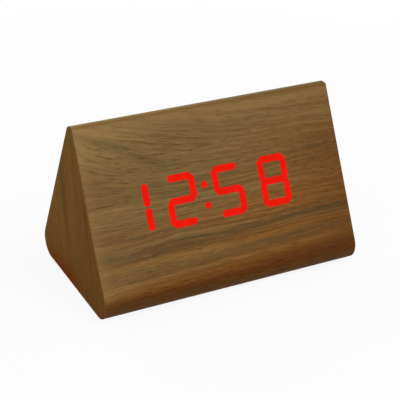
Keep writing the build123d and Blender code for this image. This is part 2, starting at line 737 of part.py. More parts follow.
def control_screws():
    """Screws through the control board into the bosses."""
    length = BOARD_THICKNESS + SCREW_GRIP
    return [screw(REAR, place, control_back, length, -1) for place in control_screw_places()]


def button(place, mark):
    """Key cap with a flange behind the panel, a stem and a sunk mark on top."""
    x, y = place
    cap = slab(REAR, Pos(x, y) * Circle(BUTTON_DIAMETER / 2), -BUTTON_PROUD, stem_depth)
    crown = cap.edges().filter_by(GeomType.CIRCLE).sort_by(Axis(REAR.origin, REAR.z_dir))[-1]
    cap = fillet(crown, BUTTON_EDGE)
    cap += slab(REAR, Pos(x, y) * Circle(BUTTON_DIAMETER / 2 + FLANGE_OVERHANG), flange_depth, stem_depth)
    cap += slab(REAR, Pos(x, y) * Circle(STEM_DIAMETER / 2), stem_depth, stem_end)
    return cap - slab(REAR, Pos(x, y) * mark, -BUTTON_PROUD - OVERRUN, MARK_DEPTH - BUTTON_PROUD)


def plunger(place):
    """Moving stem of a key switch, under its key cap."""
    outline = Pos(*place) * Circle(PLUNGER_DIAMETER / 2)
    return slab(REAR, outline, stem_end, switch_depth + PLUNGER_DEPTH)


def key_switches():
    """Bodies of the three key switches, each with a well for its plunger."""
    body = Rectangle(SWITCH_WIDTH, SWITCH_WIDTH)
    well = Circle(PLUNGER_DIAMETER / 2 + PLUNGER_CLEARANCE)
    well_depth = switch_depth + PLUNGER_DEPTH + BUTTON_TRAVEL + PLUNGER_CLEARANCE
    switches = []
    for place in button_places():
        switch = slab(REAR, Pos(*place) * body, switch_depth, control_front)
        switches.append(switch - slab(REAR, Pos(*place) * well, switch_depth - OVERRUN, well_depth))
    return switches


def dc_socket():
    """Power inlet on the control board, its round nose flush in the panel."""
    place = Pos(*socket_place)
    body = slab(REAR, place * Rectangle(SOCKET_WIDTH, SOCKET_LENGTH), PANEL_THICKNESS, control_front)
    body += slab(REAR, place * Circle(SOCKET_NOSE / 2), 0, PANEL_THICKNESS)
    return body - slab(REAR, place * Circle(SOCKET_BORE / 2), -OVERRUN, SOCKET_DEPTH)


def dc_socket_pin():
    """Centre pin of the power inlet."""
    outline = Pos(*socket_place) * Circle(SOCKET_PIN / 2)
    pin = slab(REAR, outline, SOCKET_PIN_RECESS, SOCKET_DEPTH)
    tip = pin.edges().filter_by(GeomType.CIRCLE).sort_by(Axis(REAR.origin, REAR.z_dir))[-1]
    return chamfer(tip, SOCKET_PIN_TIP)


def microphone():
    """Capsule behind the small hole in the panel."""
    outline = Pos(*microphone_place) * Circle(MICROPHONE_DIAMETER / 2)
    return slab(REAR, outline, control_front - MICROPHONE_HEIGHT, control_front)


def pieces():
    """Every piece of the clock by name."""
    ribbon_front_y = RIBBON_RISE - front_rise
    ribbon_rear_y = RIBBON_RISE - rear_rise
    set_place, down_place, up_place = button_places()
    last = CELL_COUNT - 1
    return {
        "case_shell": case_shell(),
        "left_end_board": end_board(-1),
        "right_end_board": end_board(1),
        "veneer_wrap": veneer_wrap(),
        "base_veneer": base_veneer(),
        "left_end_veneer": end_veneer(-1),
        "right_end_veneer": end_veneer(1),
        "glow_windows": glow_windows(),
        "display_housing": display_housing(),
        "lit_light_guides": light_guides(lit_shapes()),
        "dark_light_guides": light_guides(dark_shapes()),
        "segment_leds": segment_leds(),
        "main_board": main_board(),
        "board_spacers": board_spacers(),
        "board_screws": board_screws(),
        "driver_chip": chip(DRIVER_PLACE_SHARES, DRIVER_PIN_COUNT),
        "clock_chip": chip(CLOCK_PLACE_SHARES, CLOCK_PIN_COUNT),
        "crystal": crystal(),
        "buzzer": buzzer(),
        "capacitors": capacitors(),
        "display_connector": connector(FRONT, DISPLAY_SHIFT - control_x, ribbon_front_y, board_back),
        "control_connector": connector(REAR, control_x, ribbon_rear_y, control_back),
        "ribbon_cable": ribbon_cable(),
        "rear_panel": rear_panel(),
        "panel_screws": panel_screws(),
        "battery_tray": battery_tray(),
        "battery_door": battery_door(),
        "positive_terminal": terminal(-1, 0),
        "negative_terminal": terminal(1, last),
        "right_link_contact": contact(1, 0, 1),
        "left_link_contact": contact(-1, 1, last),
        "battery_1": battery(0),
        "battery_2": battery(1),
        "battery_3": battery(last),
        "positive_lead": battery_lead(-1, 0),
        "negative_lead": battery_lead(1, last),
        "control_board": control_board(),
        "control_screws": control_screws(),
        "key_switches": key_switches(),
        "set_button": button(set_place, Circle(MARK_SIZE / 2)),
        "down_button": button(down_place, Rot(Z=180) * RegularPolygon(MARK_SIZE, 3, rotation=90)),
        "up_button": button(up_place, RegularPolygon(MARK_SIZE, 3, rotation=90)),
        "set_plunger": plunger(set_place),
        "down_plunger": plunger(down_place),
        "up_plunger": plunger(up_place),
        "dc_socket": dc_socket(),
        "dc_socket_pin": dc_socket_pin(),
        "microphone": microphone(),
    }


os.makedirs("parts", exist_ok=True)
for name, shape in pieces().items():
    solids = shape if isinstance(shape, list) else [shape]
    whole = Compound([solid for item in solids for solid in item.solids()])
    export_step(whole, os.path.join("parts", name + ".step"))
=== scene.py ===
# %% [markdown]
# # A wooden LED desk clock
# The clock is a three-sided wooden prism that lies on its wide side. Red figures
# shine through the sloping front, and a black panel with keys, a power inlet and a
# battery lid is let into the back. This lesson dresses the solid model of the clock:
# the solids give every size, and Blender adds the wood, the glow and the mouldings.

# %% The solid model
import json
import math

import bmesh
import bpy
from mathutils import Matrix, Vector


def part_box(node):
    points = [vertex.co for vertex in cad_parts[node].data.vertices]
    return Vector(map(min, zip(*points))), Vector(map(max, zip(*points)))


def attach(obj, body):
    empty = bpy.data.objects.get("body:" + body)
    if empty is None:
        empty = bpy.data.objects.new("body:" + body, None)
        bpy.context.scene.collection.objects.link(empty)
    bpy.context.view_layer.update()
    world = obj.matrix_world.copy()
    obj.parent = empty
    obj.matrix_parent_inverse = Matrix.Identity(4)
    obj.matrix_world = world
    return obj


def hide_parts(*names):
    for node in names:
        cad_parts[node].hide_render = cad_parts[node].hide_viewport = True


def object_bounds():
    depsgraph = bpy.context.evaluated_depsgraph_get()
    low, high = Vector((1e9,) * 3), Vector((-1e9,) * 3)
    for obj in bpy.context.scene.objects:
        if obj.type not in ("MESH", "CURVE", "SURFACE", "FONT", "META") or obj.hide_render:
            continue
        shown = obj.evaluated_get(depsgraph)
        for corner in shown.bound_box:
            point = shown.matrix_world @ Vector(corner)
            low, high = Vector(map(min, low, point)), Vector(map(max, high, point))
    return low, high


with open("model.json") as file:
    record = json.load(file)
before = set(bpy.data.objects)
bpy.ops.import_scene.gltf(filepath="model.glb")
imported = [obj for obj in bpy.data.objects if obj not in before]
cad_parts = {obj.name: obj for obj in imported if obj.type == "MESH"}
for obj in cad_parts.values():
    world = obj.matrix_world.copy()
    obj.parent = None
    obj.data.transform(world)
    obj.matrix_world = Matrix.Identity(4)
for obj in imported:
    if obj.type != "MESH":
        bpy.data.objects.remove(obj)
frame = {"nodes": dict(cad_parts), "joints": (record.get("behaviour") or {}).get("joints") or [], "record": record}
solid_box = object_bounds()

scene = bpy.context.scene
nodes = frame["nodes"]

# %% [markdown]
# ## The camera
# The picture was taken from the front left, a little under a third of a right angle
# above the table, through a long lens. One could place the camera by eye, but the
# edges of a prism fix it: its azimuth, height, roll and distance were solved from the
# corners of the front, and are written here as plain numbers.

# %% Camera
MM = 0.001
AZIMUTH, ELEVATION, ROLL = (math.radians(angle) for angle in (-27.631, 27.602, 1.232))
AIM = Vector((-0.148, 0.0, 29.113)) * MM
DISTANCE = 533.334 * MM
LENS, SENSOR = 105.76, 36.0

backward = Vector((
    math.sin(AZIMUTH) * math.cos(ELEVATION),
    -math.cos(AZIMUTH) * math.cos(ELEVATION),
    math.sin(ELEVATION),
))
level = Vector((math.cos(AZIMUTH), math.sin(AZIMUTH), 0.0))
upward = backward.cross(level)
right = level * math.cos(ROLL) + upward * math.sin(ROLL)
up = upward * math.cos(ROLL) - level * math.sin(ROLL)
facing = Matrix((right, up, backward)).transposed().to_4x4()

camera = bpy.data.objects.new("picture_camera", bpy.data.cameras.new("picture_camera"))
camera.data.lens = LENS
camera.data.sensor_width = SENSOR
camera.matrix_world = Matrix.Translation(AIM + backward * DISTANCE) @ facing
scene.collection.objects.link(camera)
scene.camera = camera
scene.view_settings.view_transform = "Standard"
print("camera stands at", [round(value, 4) for value in camera.matrix_world.translation])

# %% [markdown]
# ## Writing nodes as arithmetic
# A finish is a formula: how dark a fibre is, where a pore sits. Wiring that by hand
# makes long lists of links, so a small class stands for one wire. Python's own
# operators on it add Math nodes, and one method adds every other kind of node.
# The same class serves shaders, the surroundings and Geometry Nodes.


# %% The wire class
class Wire:
    """One output of a node, or only the tree while no node is made yet."""

    def __init__(self, tree, socket=None):
        self.tree = tree
        self.socket = socket

    def node(self, kind, settings=None, sockets=None, out=0):
        """Add a node: its settings first, then the values or links of its sockets."""
        made = self.tree.nodes.new(kind)
        for name, value in (settings or {}).items():
            if name == "stops":
                set_stops(made.color_ramp, value)
            else:
                setattr(made, name, value)
        for name, value in (sockets or {}).items():
            for item in value if isinstance(value, list) else [value]:
                if isinstance(item, Wire):
                    self.tree.links.new(item.socket, made.inputs[name])
                else:
                    made.inputs[name].default_value = item
        return Wire(self.tree, made.outputs[out]) if made.outputs else made

    def other(self, out):
        """Another output of the same node."""
        return Wire(self.tree, self.socket.node.outputs[out])

    def vector(self, x=0.0, y=0.0, z=0.0):
        """Three numbers as one vector."""
        return self.node("ShaderNodeCombineXYZ", {}, {0: x, 1: y, 2: z})

    def math(self, operation, *values):
        return self.node("ShaderNodeMath", {"operation": operation}, dict(enumerate(values)))

    def __add__(self, value):
        return self.math("ADD", self, value)

    def __sub__(self, value):
        return self.math("SUBTRACT", self, value)

    def __rsub__(self, value):
        return self.math("SUBTRACT", value, self)

    def __mul__(self, value):
        return self.math("MULTIPLY", self, value)

    def __truediv__(self, value):
        return self.math("DIVIDE", self, value)

    def __gt__(self, value):
        return self.math("GREATER_THAN", self, value)

    def __abs__(self):
        return self.math("ABSOLUTE", self)

    __radd__ = __add__
    __rmul__ = __mul__


def set_stops(ramp, stops):
    """Give a colour ramp its stops, as (position, brightness) pairs."""
    while len(ramp.elements) < len(stops):
        ramp.elements.new(1.0)
    for element, (position, brightness) in zip(ramp.elements, stops):
        element.position = position
        element.color = (brightness, brightness, brightness, 1.0)


print("wires know", sum(name.startswith("__") for name in vars(Wire)), "special methods")

# %% [markdown]
# ## Small tools for finishes
# Every finish reads the clock's own coordinates, in millimetres, so that a fibre is as
# wide as a real fibre and nothing slides when the clock is moved. Noise stretched along
# one direction gives wood, noise of one size gives the fine texture of a moulding.
# Colours are then laid over each other, each with a share that says where it shows.


# %% Finish tools
def paint(red, green, blue):
    """A colour given as on a screen, 0 to 255, turned into the linear light that shaders use."""
    def linear(value):
        value /= 255
        return value / 12.92 if value <= 0.04045 else ((value + 0.055) / 1.055) ** 2.4
    return (linear(red), linear(green), linear(blue), 1.0)


def millimetres(start):
    """The place on the clock as three wires: along, deep and high."""
    place = start.node("ShaderNodeTexCoord", out="Object")
    scaled = start.node("ShaderNodeVectorMath", {"operation": "SCALE"}, {0: place, "Scale": 1 / MM})
    along = start.node("ShaderNodeSeparateXYZ", {}, {0: scaled})
    return along, along.other(1), along.other(2)


def noise(first, second, third=0.0, detail=2.0, roughness=0.5):
    """Noise over three numbers, from 0 to 1."""
    place = first.vector(first, second, third)
    sockets = {"Vector": place, "Scale": 1.0, "Detail": detail, "Roughness": roughness}
    return first.node("ShaderNodeTexNoise", {}, sockets)


def even_noise(places, scale, detail=2.0, roughness=0.5):
    """Noise that changes equally fast in all directions; the scale is per millimetre."""
    return noise(*(place * scale for place in places), detail, roughness)


def fade(value, low, high):
    """A smooth step: 0 at low, 1 at high."""
    sockets = {"Value": value, "From Min": low, "From Max": high}
    return value.node("ShaderNodeMapRange", {"interpolation_type": "SMOOTHSTEP"}, sockets)


def within(value, low, full_from, full_to, high):
    """1 inside a zone, with a smooth step on either side of it."""
    return fade(value, low, full_from) * fade(value, high, full_to)


def blend_colour(share, first, second):
    """The first colour where the share is 0, the second where it is 1."""
    sockets = {0: share, 6: first, 7: second}
    return share.node("ShaderNodeMix", {"data_type": "RGBA"}, sockets, 2)


def layered(colour, layers):
    """A ground colour with tones laid over it in turn, as (share, tone) pairs."""
    for share, tone in layers:
        colour = blend_colour(share, colour, tone)
    return colour


WHITE = paint(255, 255, 255)
print("a middle grey is", round(paint(128, 128, 128)[0], 3), "of white in linear light")


# %% Making a material
def emptied(owner):
    """The first wire of a material or of the surroundings, with all its nodes removed."""
    owner.use_nodes = True
    owner.node_tree.nodes.clear()
    return Wire(owner.node_tree)


finishes = {}


def finish(name, recipe, constants=None):
    """Make a material: the recipe gives what varies, the constants the rest."""
    material = bpy.data.materials.new(name)
    start = emptied(material)
    sockets = dict(constants or {})
    sockets.update(recipe(start))
    relief = sockets.pop("Relief", None)
    if relief:
        height, depth = relief
        bump = {"Height": height, "Distance": depth * MM, "Strength": 1.0}
        sockets["Normal"] = start.node("ShaderNodeBump", {}, bump)
    surface = start.node("ShaderNodeBsdfPrincipled", {}, sockets)
    start.node("ShaderNodeOutputMaterial", {}, {"Surface": surface})
    finishes[name] = material
    print("finish", name, "has", len(material.node_tree.nodes), "nodes")


# %% [markdown]
# ## The wood skin
# Real clocks of this kind are fibreboard under a thin walnut-look skin, satin and a
# little open in the pores. The skin is folded over the front, the ridge and the back as
# one sheet, so the pattern has to run on over the ridge. A flat texture per side would
# break there. Instead the height up the slope becomes a sheet coordinate that goes on
# rising down the back.

# %% Places on the sheet
SLOPE_OUT, SLOPE_UP = 0.8901357, 0.4556955
SHEET_START, SHEET_TOP, SHEET_LENGTH = 18.520, 87.06, 174.0
HALF_LENGTH = 62.0


def sheet_places(start):
    """Along the sheet, and up the front, over the ridge and down the back."""
    along, deep, high = millimetres(start)
    rise = high * SLOPE_OUT - abs(deep) * SLOPE_UP + SHEET_START
    behind = deep > 0.0
    return along, rise + behind * (2 * SHEET_TOP - 2 * rise), rise


print("the ridge lies", SHEET_TOP, "mm up a sheet of", SHEET_LENGTH, "mm")

# %% [markdown]
# The grain is noise stretched along the length: slow changes of tone, streaks, fibres and
# short open pores. Towards the upper left its lines sag from left to right, and lower
# down they lie almost level, so the noise reads a bent height instead of the plain one.
# Broad grey-brown bands cross the sheet, and one dark vein arches at the upper left.

# %% Lines of the grain
# Change along and across the grain per millimetre, offset, detail and roughness
SHEET_GRAIN = {
    "drift": (0.012, 0.03, 0.0, 1.0, 0.5),
    "ripple": (0.032, 0.06, 2.0, 1.0, 0.5),
    "broad": (0.006, 0.12, 3.0, 2.0, 0.5),
    "streak": (0.01, 0.55, 7.0, 3.0, 0.55),
    "fibre": (0.11, 1.5, 11.0, 3.0, 0.65),
    "pore": (0.24, 2.2, 17.0, 2.0, 0.5),
}
LINES = ("broad", "streak", "fibre", "pore")
DRIFT, RIPPLE, BOW, ARCH = 6.0, 3.0, 1.4, 4.5
SAG_TILT, SAG_CURVE = 0.08, 6.9e-6
BANDS = [
    (0, 0.0), (12, 0.05), (17.5, 0.1), (20.3, 0.55), (22.3, 0.6), (24, 0.1), (25.5, 0.05), (27.5, 0.6),
    (29.5, 1.0), (31.3, 0.8), (33.3, 0.2), (35, 0.2), (37.3, 0.7), (39.3, 0.2), (43.5, 0.3), (46, 0.1),
    (50, 0.35), (53, 0.45), (56, 0.55), (59, 0.25), (64, 0.35), (68, 0.2), (72, 0.4), (77, 0.25),
    (87, 0.05), (96, 0.45), (101, 0.1), (113, 0.6), (117, 0.15), (131, 0.1), (135, 0.8), (140, 0.15),
]


def grain(kind, along, across, side=0.0):
    """One kind of line, as noise stretched along the grain."""
    lengthwise, crosswise, offset, detail, roughness = kind
    return noise(along * lengthwise, across * crosswise, side + offset, detail, roughness)


def bent_height(along, sheet):
    """The height on the sheet, bent to follow the lines of the grain."""
    from_right = HALF_LENGTH - along
    sag = along * SAG_TILT - from_right * from_right * from_right * SAG_CURVE
    drift = grain(SHEET_GRAIN["drift"], along, sheet) * DRIFT - DRIFT / 2
    ripple = grain(SHEET_GRAIN["ripple"], along, sheet) * RIPPLE - RIPPLE / 2
    return sheet + drift + ripple + fade(sheet, 50.0, 88.0) * sag


def grey_bands(along, line):
    """How grey the bands are; left of the middle they bow downwards."""
    bowed = line + within(along, -55.0, -38.0, -8.0, 12.0) * BOW
    stops = [(height / SHEET_LENGTH, share) for height, share in BANDS]
    return along.node("ShaderNodeValToRGB", {"stops": stops}, {0: bowed / SHEET_LENGTH})


def dark_vein(along, line):
    """The vein at the upper left, bent into an arch."""
    arched = line - fade(along, -12.0, -52.0) * ARCH
    return within(arched, 59.0, 61.2, 61.6, 63.6) * fade(along, -8.0, -30.0)


print("the grain has", len(SHEET_GRAIN), "kinds of noise and a band ramp of", len(BANDS), "stops")

# %% [markdown]
# Some tones depend on the place alone and stand in one table: a painted highlight on the
# crest under the ridge, a painted shade line and a painted highlight on the ridge, a painted
# highlight along the left edge with painted shade on its outermost line, and a few soft darker
# patches of the wood on the front. The foot of the front is reddish, with painted shade where
# it turns under, fine lines of its own and a ragged upper edge that follows the streaks.

# %% Tones of the sheet
OLIVE, BROWN, TAWNY = paint(145, 119, 70), paint(126, 99, 58), paint(133, 82, 29)
PALE_STREAK, DARK_STREAK = paint(152, 119, 66), paint(82, 57, 27)
GREY_BAND, PORE, CREST_HIGHLIGHT = paint(76, 61, 38), paint(46, 31, 15), paint(156, 124, 76)
RIDGE_SHADE_LINE, RIDGE_HIGHLIGHT = paint(119, 85, 41), paint(140, 117, 78)
RIDGE_RED, RIDGE_GREEN = paint(98, 69, 18), paint(84, 82, 45)
LEFT_EDGE_HIGHLIGHT, RIGHT_EDGE, LEFT_EDGE_SHADE = paint(152, 114, 68), paint(82, 50, 20), paint(96, 67, 30)
RED_FOOT_SHADE, BROWN_FOOT_SHADE = paint(88, 45, 11), paint(86, 53, 16)
FOOT_LINE, FOOT_SHEEN = paint(54, 30, 10), paint(112, 66, 26)
# Tone, its share, and where it starts and is full, in millimetres; four places make a zone
PLACED_TONES = [
    # Painted highlight: a paler crest under the ridge
    (CREST_HIGHLIGHT, 0.22, {"rise": (75.0, 84.0), "along": (45.0, -5.0)}),
    (CREST_HIGHLIGHT, 0.28, {"rise": (79.5, 83.0), "along": (5.0, 45.0)}),
    # Painted shade line where the front bends into the ridge, then a painted highlight on its top
    (RIDGE_SHADE_LINE, 0.7, {"rise": (84.9, 85.5)}),
    (RIDGE_HIGHLIGHT, 0.7, {"rise": (86.1, 86.8)}),
    # Painted highlight along the left edge, wider low down
    (LEFT_EDGE_HIGHLIGHT, 0.28, {"along": (-55.0, -62.0)}),
    (LEFT_EDGE_HIGHLIGHT, 0.14, {"along": (-38.0, -60.0), "rise": (45.0, 30.0)}),
    (DARK_STREAK, 0.16, {"along": (-45.0, -5.0), "rise": (12.5, 15.0, 20.0, 22.5)}),
    (DARK_STREAK, 0.24, {"along": (-15.0, 25.0), "rise": (23.3, 25.8, 28.2, 30.7)}),
    (DARK_STREAK, 0.18, {"along": (0.0, 25.0), "rise": (60.5, 63.0, 67.0, 69.5)}),
    # Painted shade on the outermost line of the left edge
    (LEFT_EDGE_SHADE, 0.9, {"along": (-61.3, -61.7), "rise": (30.0, 75.0)}),
]
FOOT_TILT, FOOT_DROP, FOOT_RAGGED = 0.028, 0.9, 7.0


def tones_by_place(places):
    """The layers of the table above."""
    layers = []
    for tone, share, zones in PLACED_TONES:
        for name, zone in zones.items():
            step = within if len(zone) == 4 else fade
            share = step(places[name], *zone) * share
        layers.append((share, tone))
    return layers


def ridge_shade(along, rise):
    """The shade along the ridge towards the right, redder in front and greener on top."""
    tone = blend_colour(fade(rise, 85.6, 86.4), RIDGE_RED, RIDGE_GREEN)
    return fade(rise, 83.4, 85.0) * fade(along, -25.0, 50.0) * 0.45, tone


def shaded_foot_layers(along, rise, streak, fibre):
    """The reddish foot of the front, with painted shade where it turns under, browner at the very bottom."""
    # The foot's darker red is painted shade where the front turns under
    edge = rise - along * FOOT_TILT - fade(along, 0.0, 25.0) * FOOT_DROP + streak * FOOT_RAGGED
    foot = fade(edge, 20.6, 13.6)
    tone = blend_colour(fade(rise, 10.2, 8.0), RED_FOOT_SHADE, BROWN_FOOT_SHADE)
    return [
        (foot * 0.92, tone),
        (fade(fibre, 0.48, 0.68) * foot * 0.6, FOOT_LINE),
        (fade(fibre, 0.46, 0.28) * foot * 0.6, FOOT_SHEEN),
    ]


print("tones laid by place:", len(PLACED_TONES))

# %% [markdown]
# Now the layers come together: a ground that turns from brown to tawny, then streaks,
# bands, fibres and pores, and last the tones of the place. Fibres stand up a little and
# shine less where they do, and pores are sunk and dull.

# %% Walnut for the sloping sides
PORE_DEPTH = 0.04
SATIN = {"Specular IOR Level": 0.05}


def open_pored(colour, fibre, dash):
    """Colour, gloss and relief of wood with open pores."""
    return {
        "Base Color": colour,
        "Roughness": fibre * 0.16 + dash * 0.1 + 0.46,
        "Relief": (fibre * 0.6 - dash * 0.6, PORE_DEPTH),
    }


def walnut_sheet(start):
    """Walnut of the folded sheet."""
    along, sheet, rise = sheet_places(start)
    line = bent_height(along, sheet)
    broad, streak, fibre, pore = (grain(SHEET_GRAIN[kind], along, line) for kind in LINES)
    dash = fade(pore, 0.54, 0.7)
    warm = along * 0.006 - rise * 0.011 + broad * 0.9 + 0.50
    corner = fade(along, -15.0, -60.0) * within(sheet, 60.0, 80.0, 96.0, 120.0)
    lively = fade(along, 10.0, 50.0) * 0.2 - fade(rise, 52.0, 70.0) * 0.32 + 0.62
    open_part = fade(along, 20.0, 48.0) * within(rise, 30.0, 42.0, 56.0, 70.0)
    darkened = fade(along, 28.0, 62.0) * (fade(rise, 76.0, 58.0) * 0.27 + 0.09)
    layers = [
        (fade(warm, 0.15, 0.95), TAWNY),
        (corner, OLIVE),
        (fade(streak, 0.48, 0.26) * lively * 0.8, PALE_STREAK),
        (fade(streak, 0.5, 0.74) * lively, DARK_STREAK),
        (grey_bands(along, line) * (fade(streak, 0.25, 0.7) * 0.6 + 0.3), GREY_BAND),
        (dark_vein(along, line) * 0.4, GREY_BAND),
        (fade(fibre, 0.47, 0.25) * 0.5, PALE_STREAK),
        (fade(fibre, 0.5, 0.72) * 0.62, DARK_STREAK),
        (dash * (open_part * 0.3 + 0.3), PORE),
    ]
    layers += tones_by_place({"along": along, "rise": rise})
    layers.append(ridge_shade(along, rise))
    layers += shaded_foot_layers(along, rise, streak, fibre)
    layers.append((darkened, RIGHT_EDGE))
    return open_pored(layered(BROWN, layers), fibre, dash)


finish("walnut_veneer", walnut_sheet, SATIN)

# %% [markdown]
# The ends are separate pieces of the same skin, laid with the grain upright and cut
# from a darker part of the sheet. Their stripes are wider and tilt a little; near the table
# they carry a painted warm shade, redder on the left one at the back. Their edges are an even brown.

# %% Walnut for the ends
END_BROWN, END_OLIVE, END_PALE = paint(118, 79, 32), paint(114, 84, 38), paint(130, 95, 44)
END_DARK, END_RED_SHADE, END_WARM_SHADE = paint(74, 48, 19), paint(112, 50, 2), paint(104, 57, 8)
ARRIS = paint(100, 74, 42)
END_GRAIN = {
    "drift": (0.016, 0.04, 0.0, 1.0, 0.5),
    "broad": (0.005, 0.13, 0.0, 2.0, 0.5),
    "streak": (0.011, 0.75, 5.0, 3.0, 0.6),
    "fibre": (0.13, 1.6, 9.0, 3.0, 0.7),
    "pore": (0.24, 2.3, 15.0, 2.0, 0.5),
}
END_DRIFT, END_TILT, END_STEP = 7.0, 0.14, 0.5
OILED = {"Specular IOR Level": 0.003}


def walnut_upright(start):
    """Walnut with upright grain."""
    along, deep, high = millimetres(start)
    side = along * END_STEP
    drift = grain(END_GRAIN["drift"], high, deep, side) * END_DRIFT
    line = deep + drift - high * END_TILT
    broad, streak, fibre, pore = (grain(END_GRAIN[kind], high, line, side) for kind in LINES)
    dash = fade(pore, 0.56, 0.72)
    on_right = along > 0.0
    # Painted warm shade near the table, redder on the left end towards the back
    table_shade = fade(high + deep * 0.12, 13.0, 2.0) * fade(deep, -14.0, 4.0)
    layers = [
        (fade(broad, 0.35, 0.65), END_OLIVE),
        (fade(streak, 0.48, 0.3) * 0.5, END_PALE),
        (fade(streak, 0.5, 0.7) * 0.58, END_DARK),
        (fade(fibre, 0.5, 0.74) * 0.5, END_DARK),
        (dash * 0.35, PORE),
        (fade(deep, 8.0, -30.0) * 0.3, END_DARK),
        # Painted warm shade low down on both ends
        (fade(high, 26.0, 3.0) * fade(deep, 36.0, 12.0) * 0.4, END_WARM_SHADE),
        (table_shade * (0.9 - on_right * 0.6), END_RED_SHADE),
        (fade(abs(along), 62.48, 62.28), ARRIS),
    ]
    return open_pored(layered(END_BROWN, layers), fibre, dash)


finish("walnut_end_veneer", walnut_upright, OILED)

# %% [markdown]
# ## Mouldings, metals and wires
# The panel, the lid and the keys are moulded plastic, eroded to a fine sand texture so
# that finger marks don't show. One function makes all of them, and the soft skin of the
# wires too: fine noise for the sand, broad noise for the uneven sheen. Metals get the
# marks of their making instead: drawn or turned lines, or an even tumbled grain.


# %% Mouldings and metals
def moulding(name, colour, worn, roughness, sand_size, depth, constants=None):
    """Moulded plastic with a sand texture of a given size, in millimetres."""
    def recipe(start):
        places = millimetres(start)
        sand = even_noise(places, 1 / sand_size, 2.0, 0.6)
        cloud = even_noise(places, 0.06)
        wear = fade(cloud, 0.35, 0.75) * 0.5 + fade(sand, 0.55, 0.8) * 0.3
        return {
            "Base Color": blend_colour(wear, colour, worn),
            "Roughness": cloud * 0.18 + sand * 0.08 + (roughness - 0.13),
            "Relief": (sand, depth),
        }
    finish(name, recipe, constants)


def metal(name, colour, dull, roughness, stretch):
    """Plain metal with the faint marks of its making."""
    def recipe(start):
        places = millimetres(start)
        lines = noise(*(place * scale for place, scale in zip(places, stretch)), 3.0, 0.6)
        cloud = even_noise(places, 0.15, 1.0)
        tint = blend_colour(fade(cloud, 0.3, 0.8) * 0.6 + lines * 0.2, colour, dull)
        return {"Base Color": tint, "Roughness": lines * 0.2 + (roughness - 0.1), "Relief": (lines, 0.01)}
    finish(name, recipe, {"Metallic": 1.0})


DULL = {"Specular IOR Level": 0.2}
DRAWN, TURNED, TUMBLED = (0.05, 2.0, 2.0), (0.4, 0.4, 1.6), (1.2, 1.2, 1.2)
# Colour, worn colour, roughness, size of the sand and depth of its relief in millimetres
MOULDINGS = {
    "black_plastic": (paint(40, 40, 42), paint(54, 54, 56), 0.55, 0.35, 0.02, DULL),
    "key_plastic": (paint(78, 78, 81), paint(96, 96, 98), 0.45, 0.25, 0.01),
    "socket_plastic": (paint(34, 34, 36), paint(46, 46, 48), 0.35, 0.3, 0.006),
    "chip_plastic": (paint(42, 42, 44), paint(60, 60, 62), 0.6, 0.12, 0.01),
    "white_plastic": (paint(232, 229, 218), paint(216, 211, 196), 0.45, 0.4, 0.006),
    "led_body": (paint(240, 236, 214), paint(226, 220, 190), 0.2, 0.8, 0.002),
    "mark_paint": (paint(232, 232, 228), paint(214, 214, 208), 0.5, 0.15, 0.008),
    "red_wire": (paint(196, 32, 28), paint(168, 26, 24), 0.5, 0.6, 0.01),
    "black_wire": (paint(44, 44, 46), paint(58, 58, 60), 0.5, 0.6, 0.01),
    "grey_cable": (paint(178, 180, 184), paint(156, 158, 162), 0.5, 0.6, 0.01),
}
# Colour, dull colour, roughness and stretch of the lines along, deep and high
METALS = {
    "steel": (paint(200, 200, 203), paint(168, 168, 172), 0.3, DRAWN),
    "black_steel": (paint(66, 66, 68), paint(48, 48, 50), 0.42, TUMBLED),
    "brass": (paint(222, 184, 104), paint(196, 152, 78), 0.28, DRAWN),
    "capacitor_can": (paint(206, 207, 209), paint(180, 181, 184), 0.32, TURNED),
}
for name, values in MOULDINGS.items():
    moulding(name, *values)
for name, values in METALS.items():
    metal(name, *values)

# %% [markdown]
# The boards are glass fibre under green varnish: the weave shows as a faint grid. Raw
# fibreboard is a felt of short fibres.

# %% Boards and felt
VARNISH, WEAVE_GREEN, DEEP_GREEN = paint(28, 96, 56), paint(40, 116, 68), paint(22, 78, 50)
FELT, FELT_DARK, FELT_PALE = paint(176, 142, 98), paint(140, 106, 66), paint(190, 160, 118)


def board_varnish(start):
    """Green varnish over a faint weave."""
    along, deep, high = places = millimetres(start)
    weave = noise(along * 1.6, high * 1.6 + deep * 0.8, 0.0, 1.0)
    cloud = even_noise(places, 0.08)
    layers = [(fade(weave, 0.4, 0.7) * 0.5, WEAVE_GREEN), (fade(cloud, 0.4, 0.7) * 0.3, DEEP_GREEN)]
    tint = layered(VARNISH, layers)
    return {"Base Color": tint, "Roughness": weave * 0.1 + 0.3, "Relief": (weave, 0.01)}


def pressed_fibres(start):
    """Raw fibreboard."""
    along, deep, high = places = millimetres(start)
    felt = noise(along * 1.1, deep * 2.6, high * 2.6, 4.0, 0.7)
    cloud = even_noise(places, 0.1)
    layers = [(fade(felt, 0.35, 0.7), FELT_DARK), (fade(cloud, 0.4, 0.7) * 0.3, FELT_PALE)]
    return {"Base Color": layered(FELT, layers), "Roughness": felt * 0.15 + 0.75, "Relief": (felt, 0.06)}


finish("circuit_board", board_varnish)
finish("fibreboard", pressed_fibres)

# %% [markdown]
# A battery cell is a can in a printed film with bare metal at both ends. The film is dark
# with a copper-coloured band at the plus pole. Where that pole is differs from cell to
# cell, so it is read off the solid: the nub is the end whose points all lie near the axis.

# %% Battery cells
CELLS = ("battery_1", "battery_2", "battery_3")
BAND_LENGTH, BARE_LENGTH = 10.0, 0.9
RIM = 0.05 * MM
FILM, FILM_SHEEN = paint(38, 52, 48), paint(52, 70, 64)
COPPER_BAND, BARE_METAL = paint(196, 128, 76), paint(206, 206, 208)


def plus_side(node):
    """+1 where the nub points along +X, -1 where it points the other way."""
    low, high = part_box(node)
    middle = (low + high) / 2

    def reach(end):
        rim = [vertex.co for vertex in nodes[node].data.vertices if abs(vertex.co.x - end) < RIM]
        return max((Vector((0, point.y - middle.y, point.z - middle.z)).length for point in rim))

    return 1 if reach(high.x) < reach(low.x) else -1


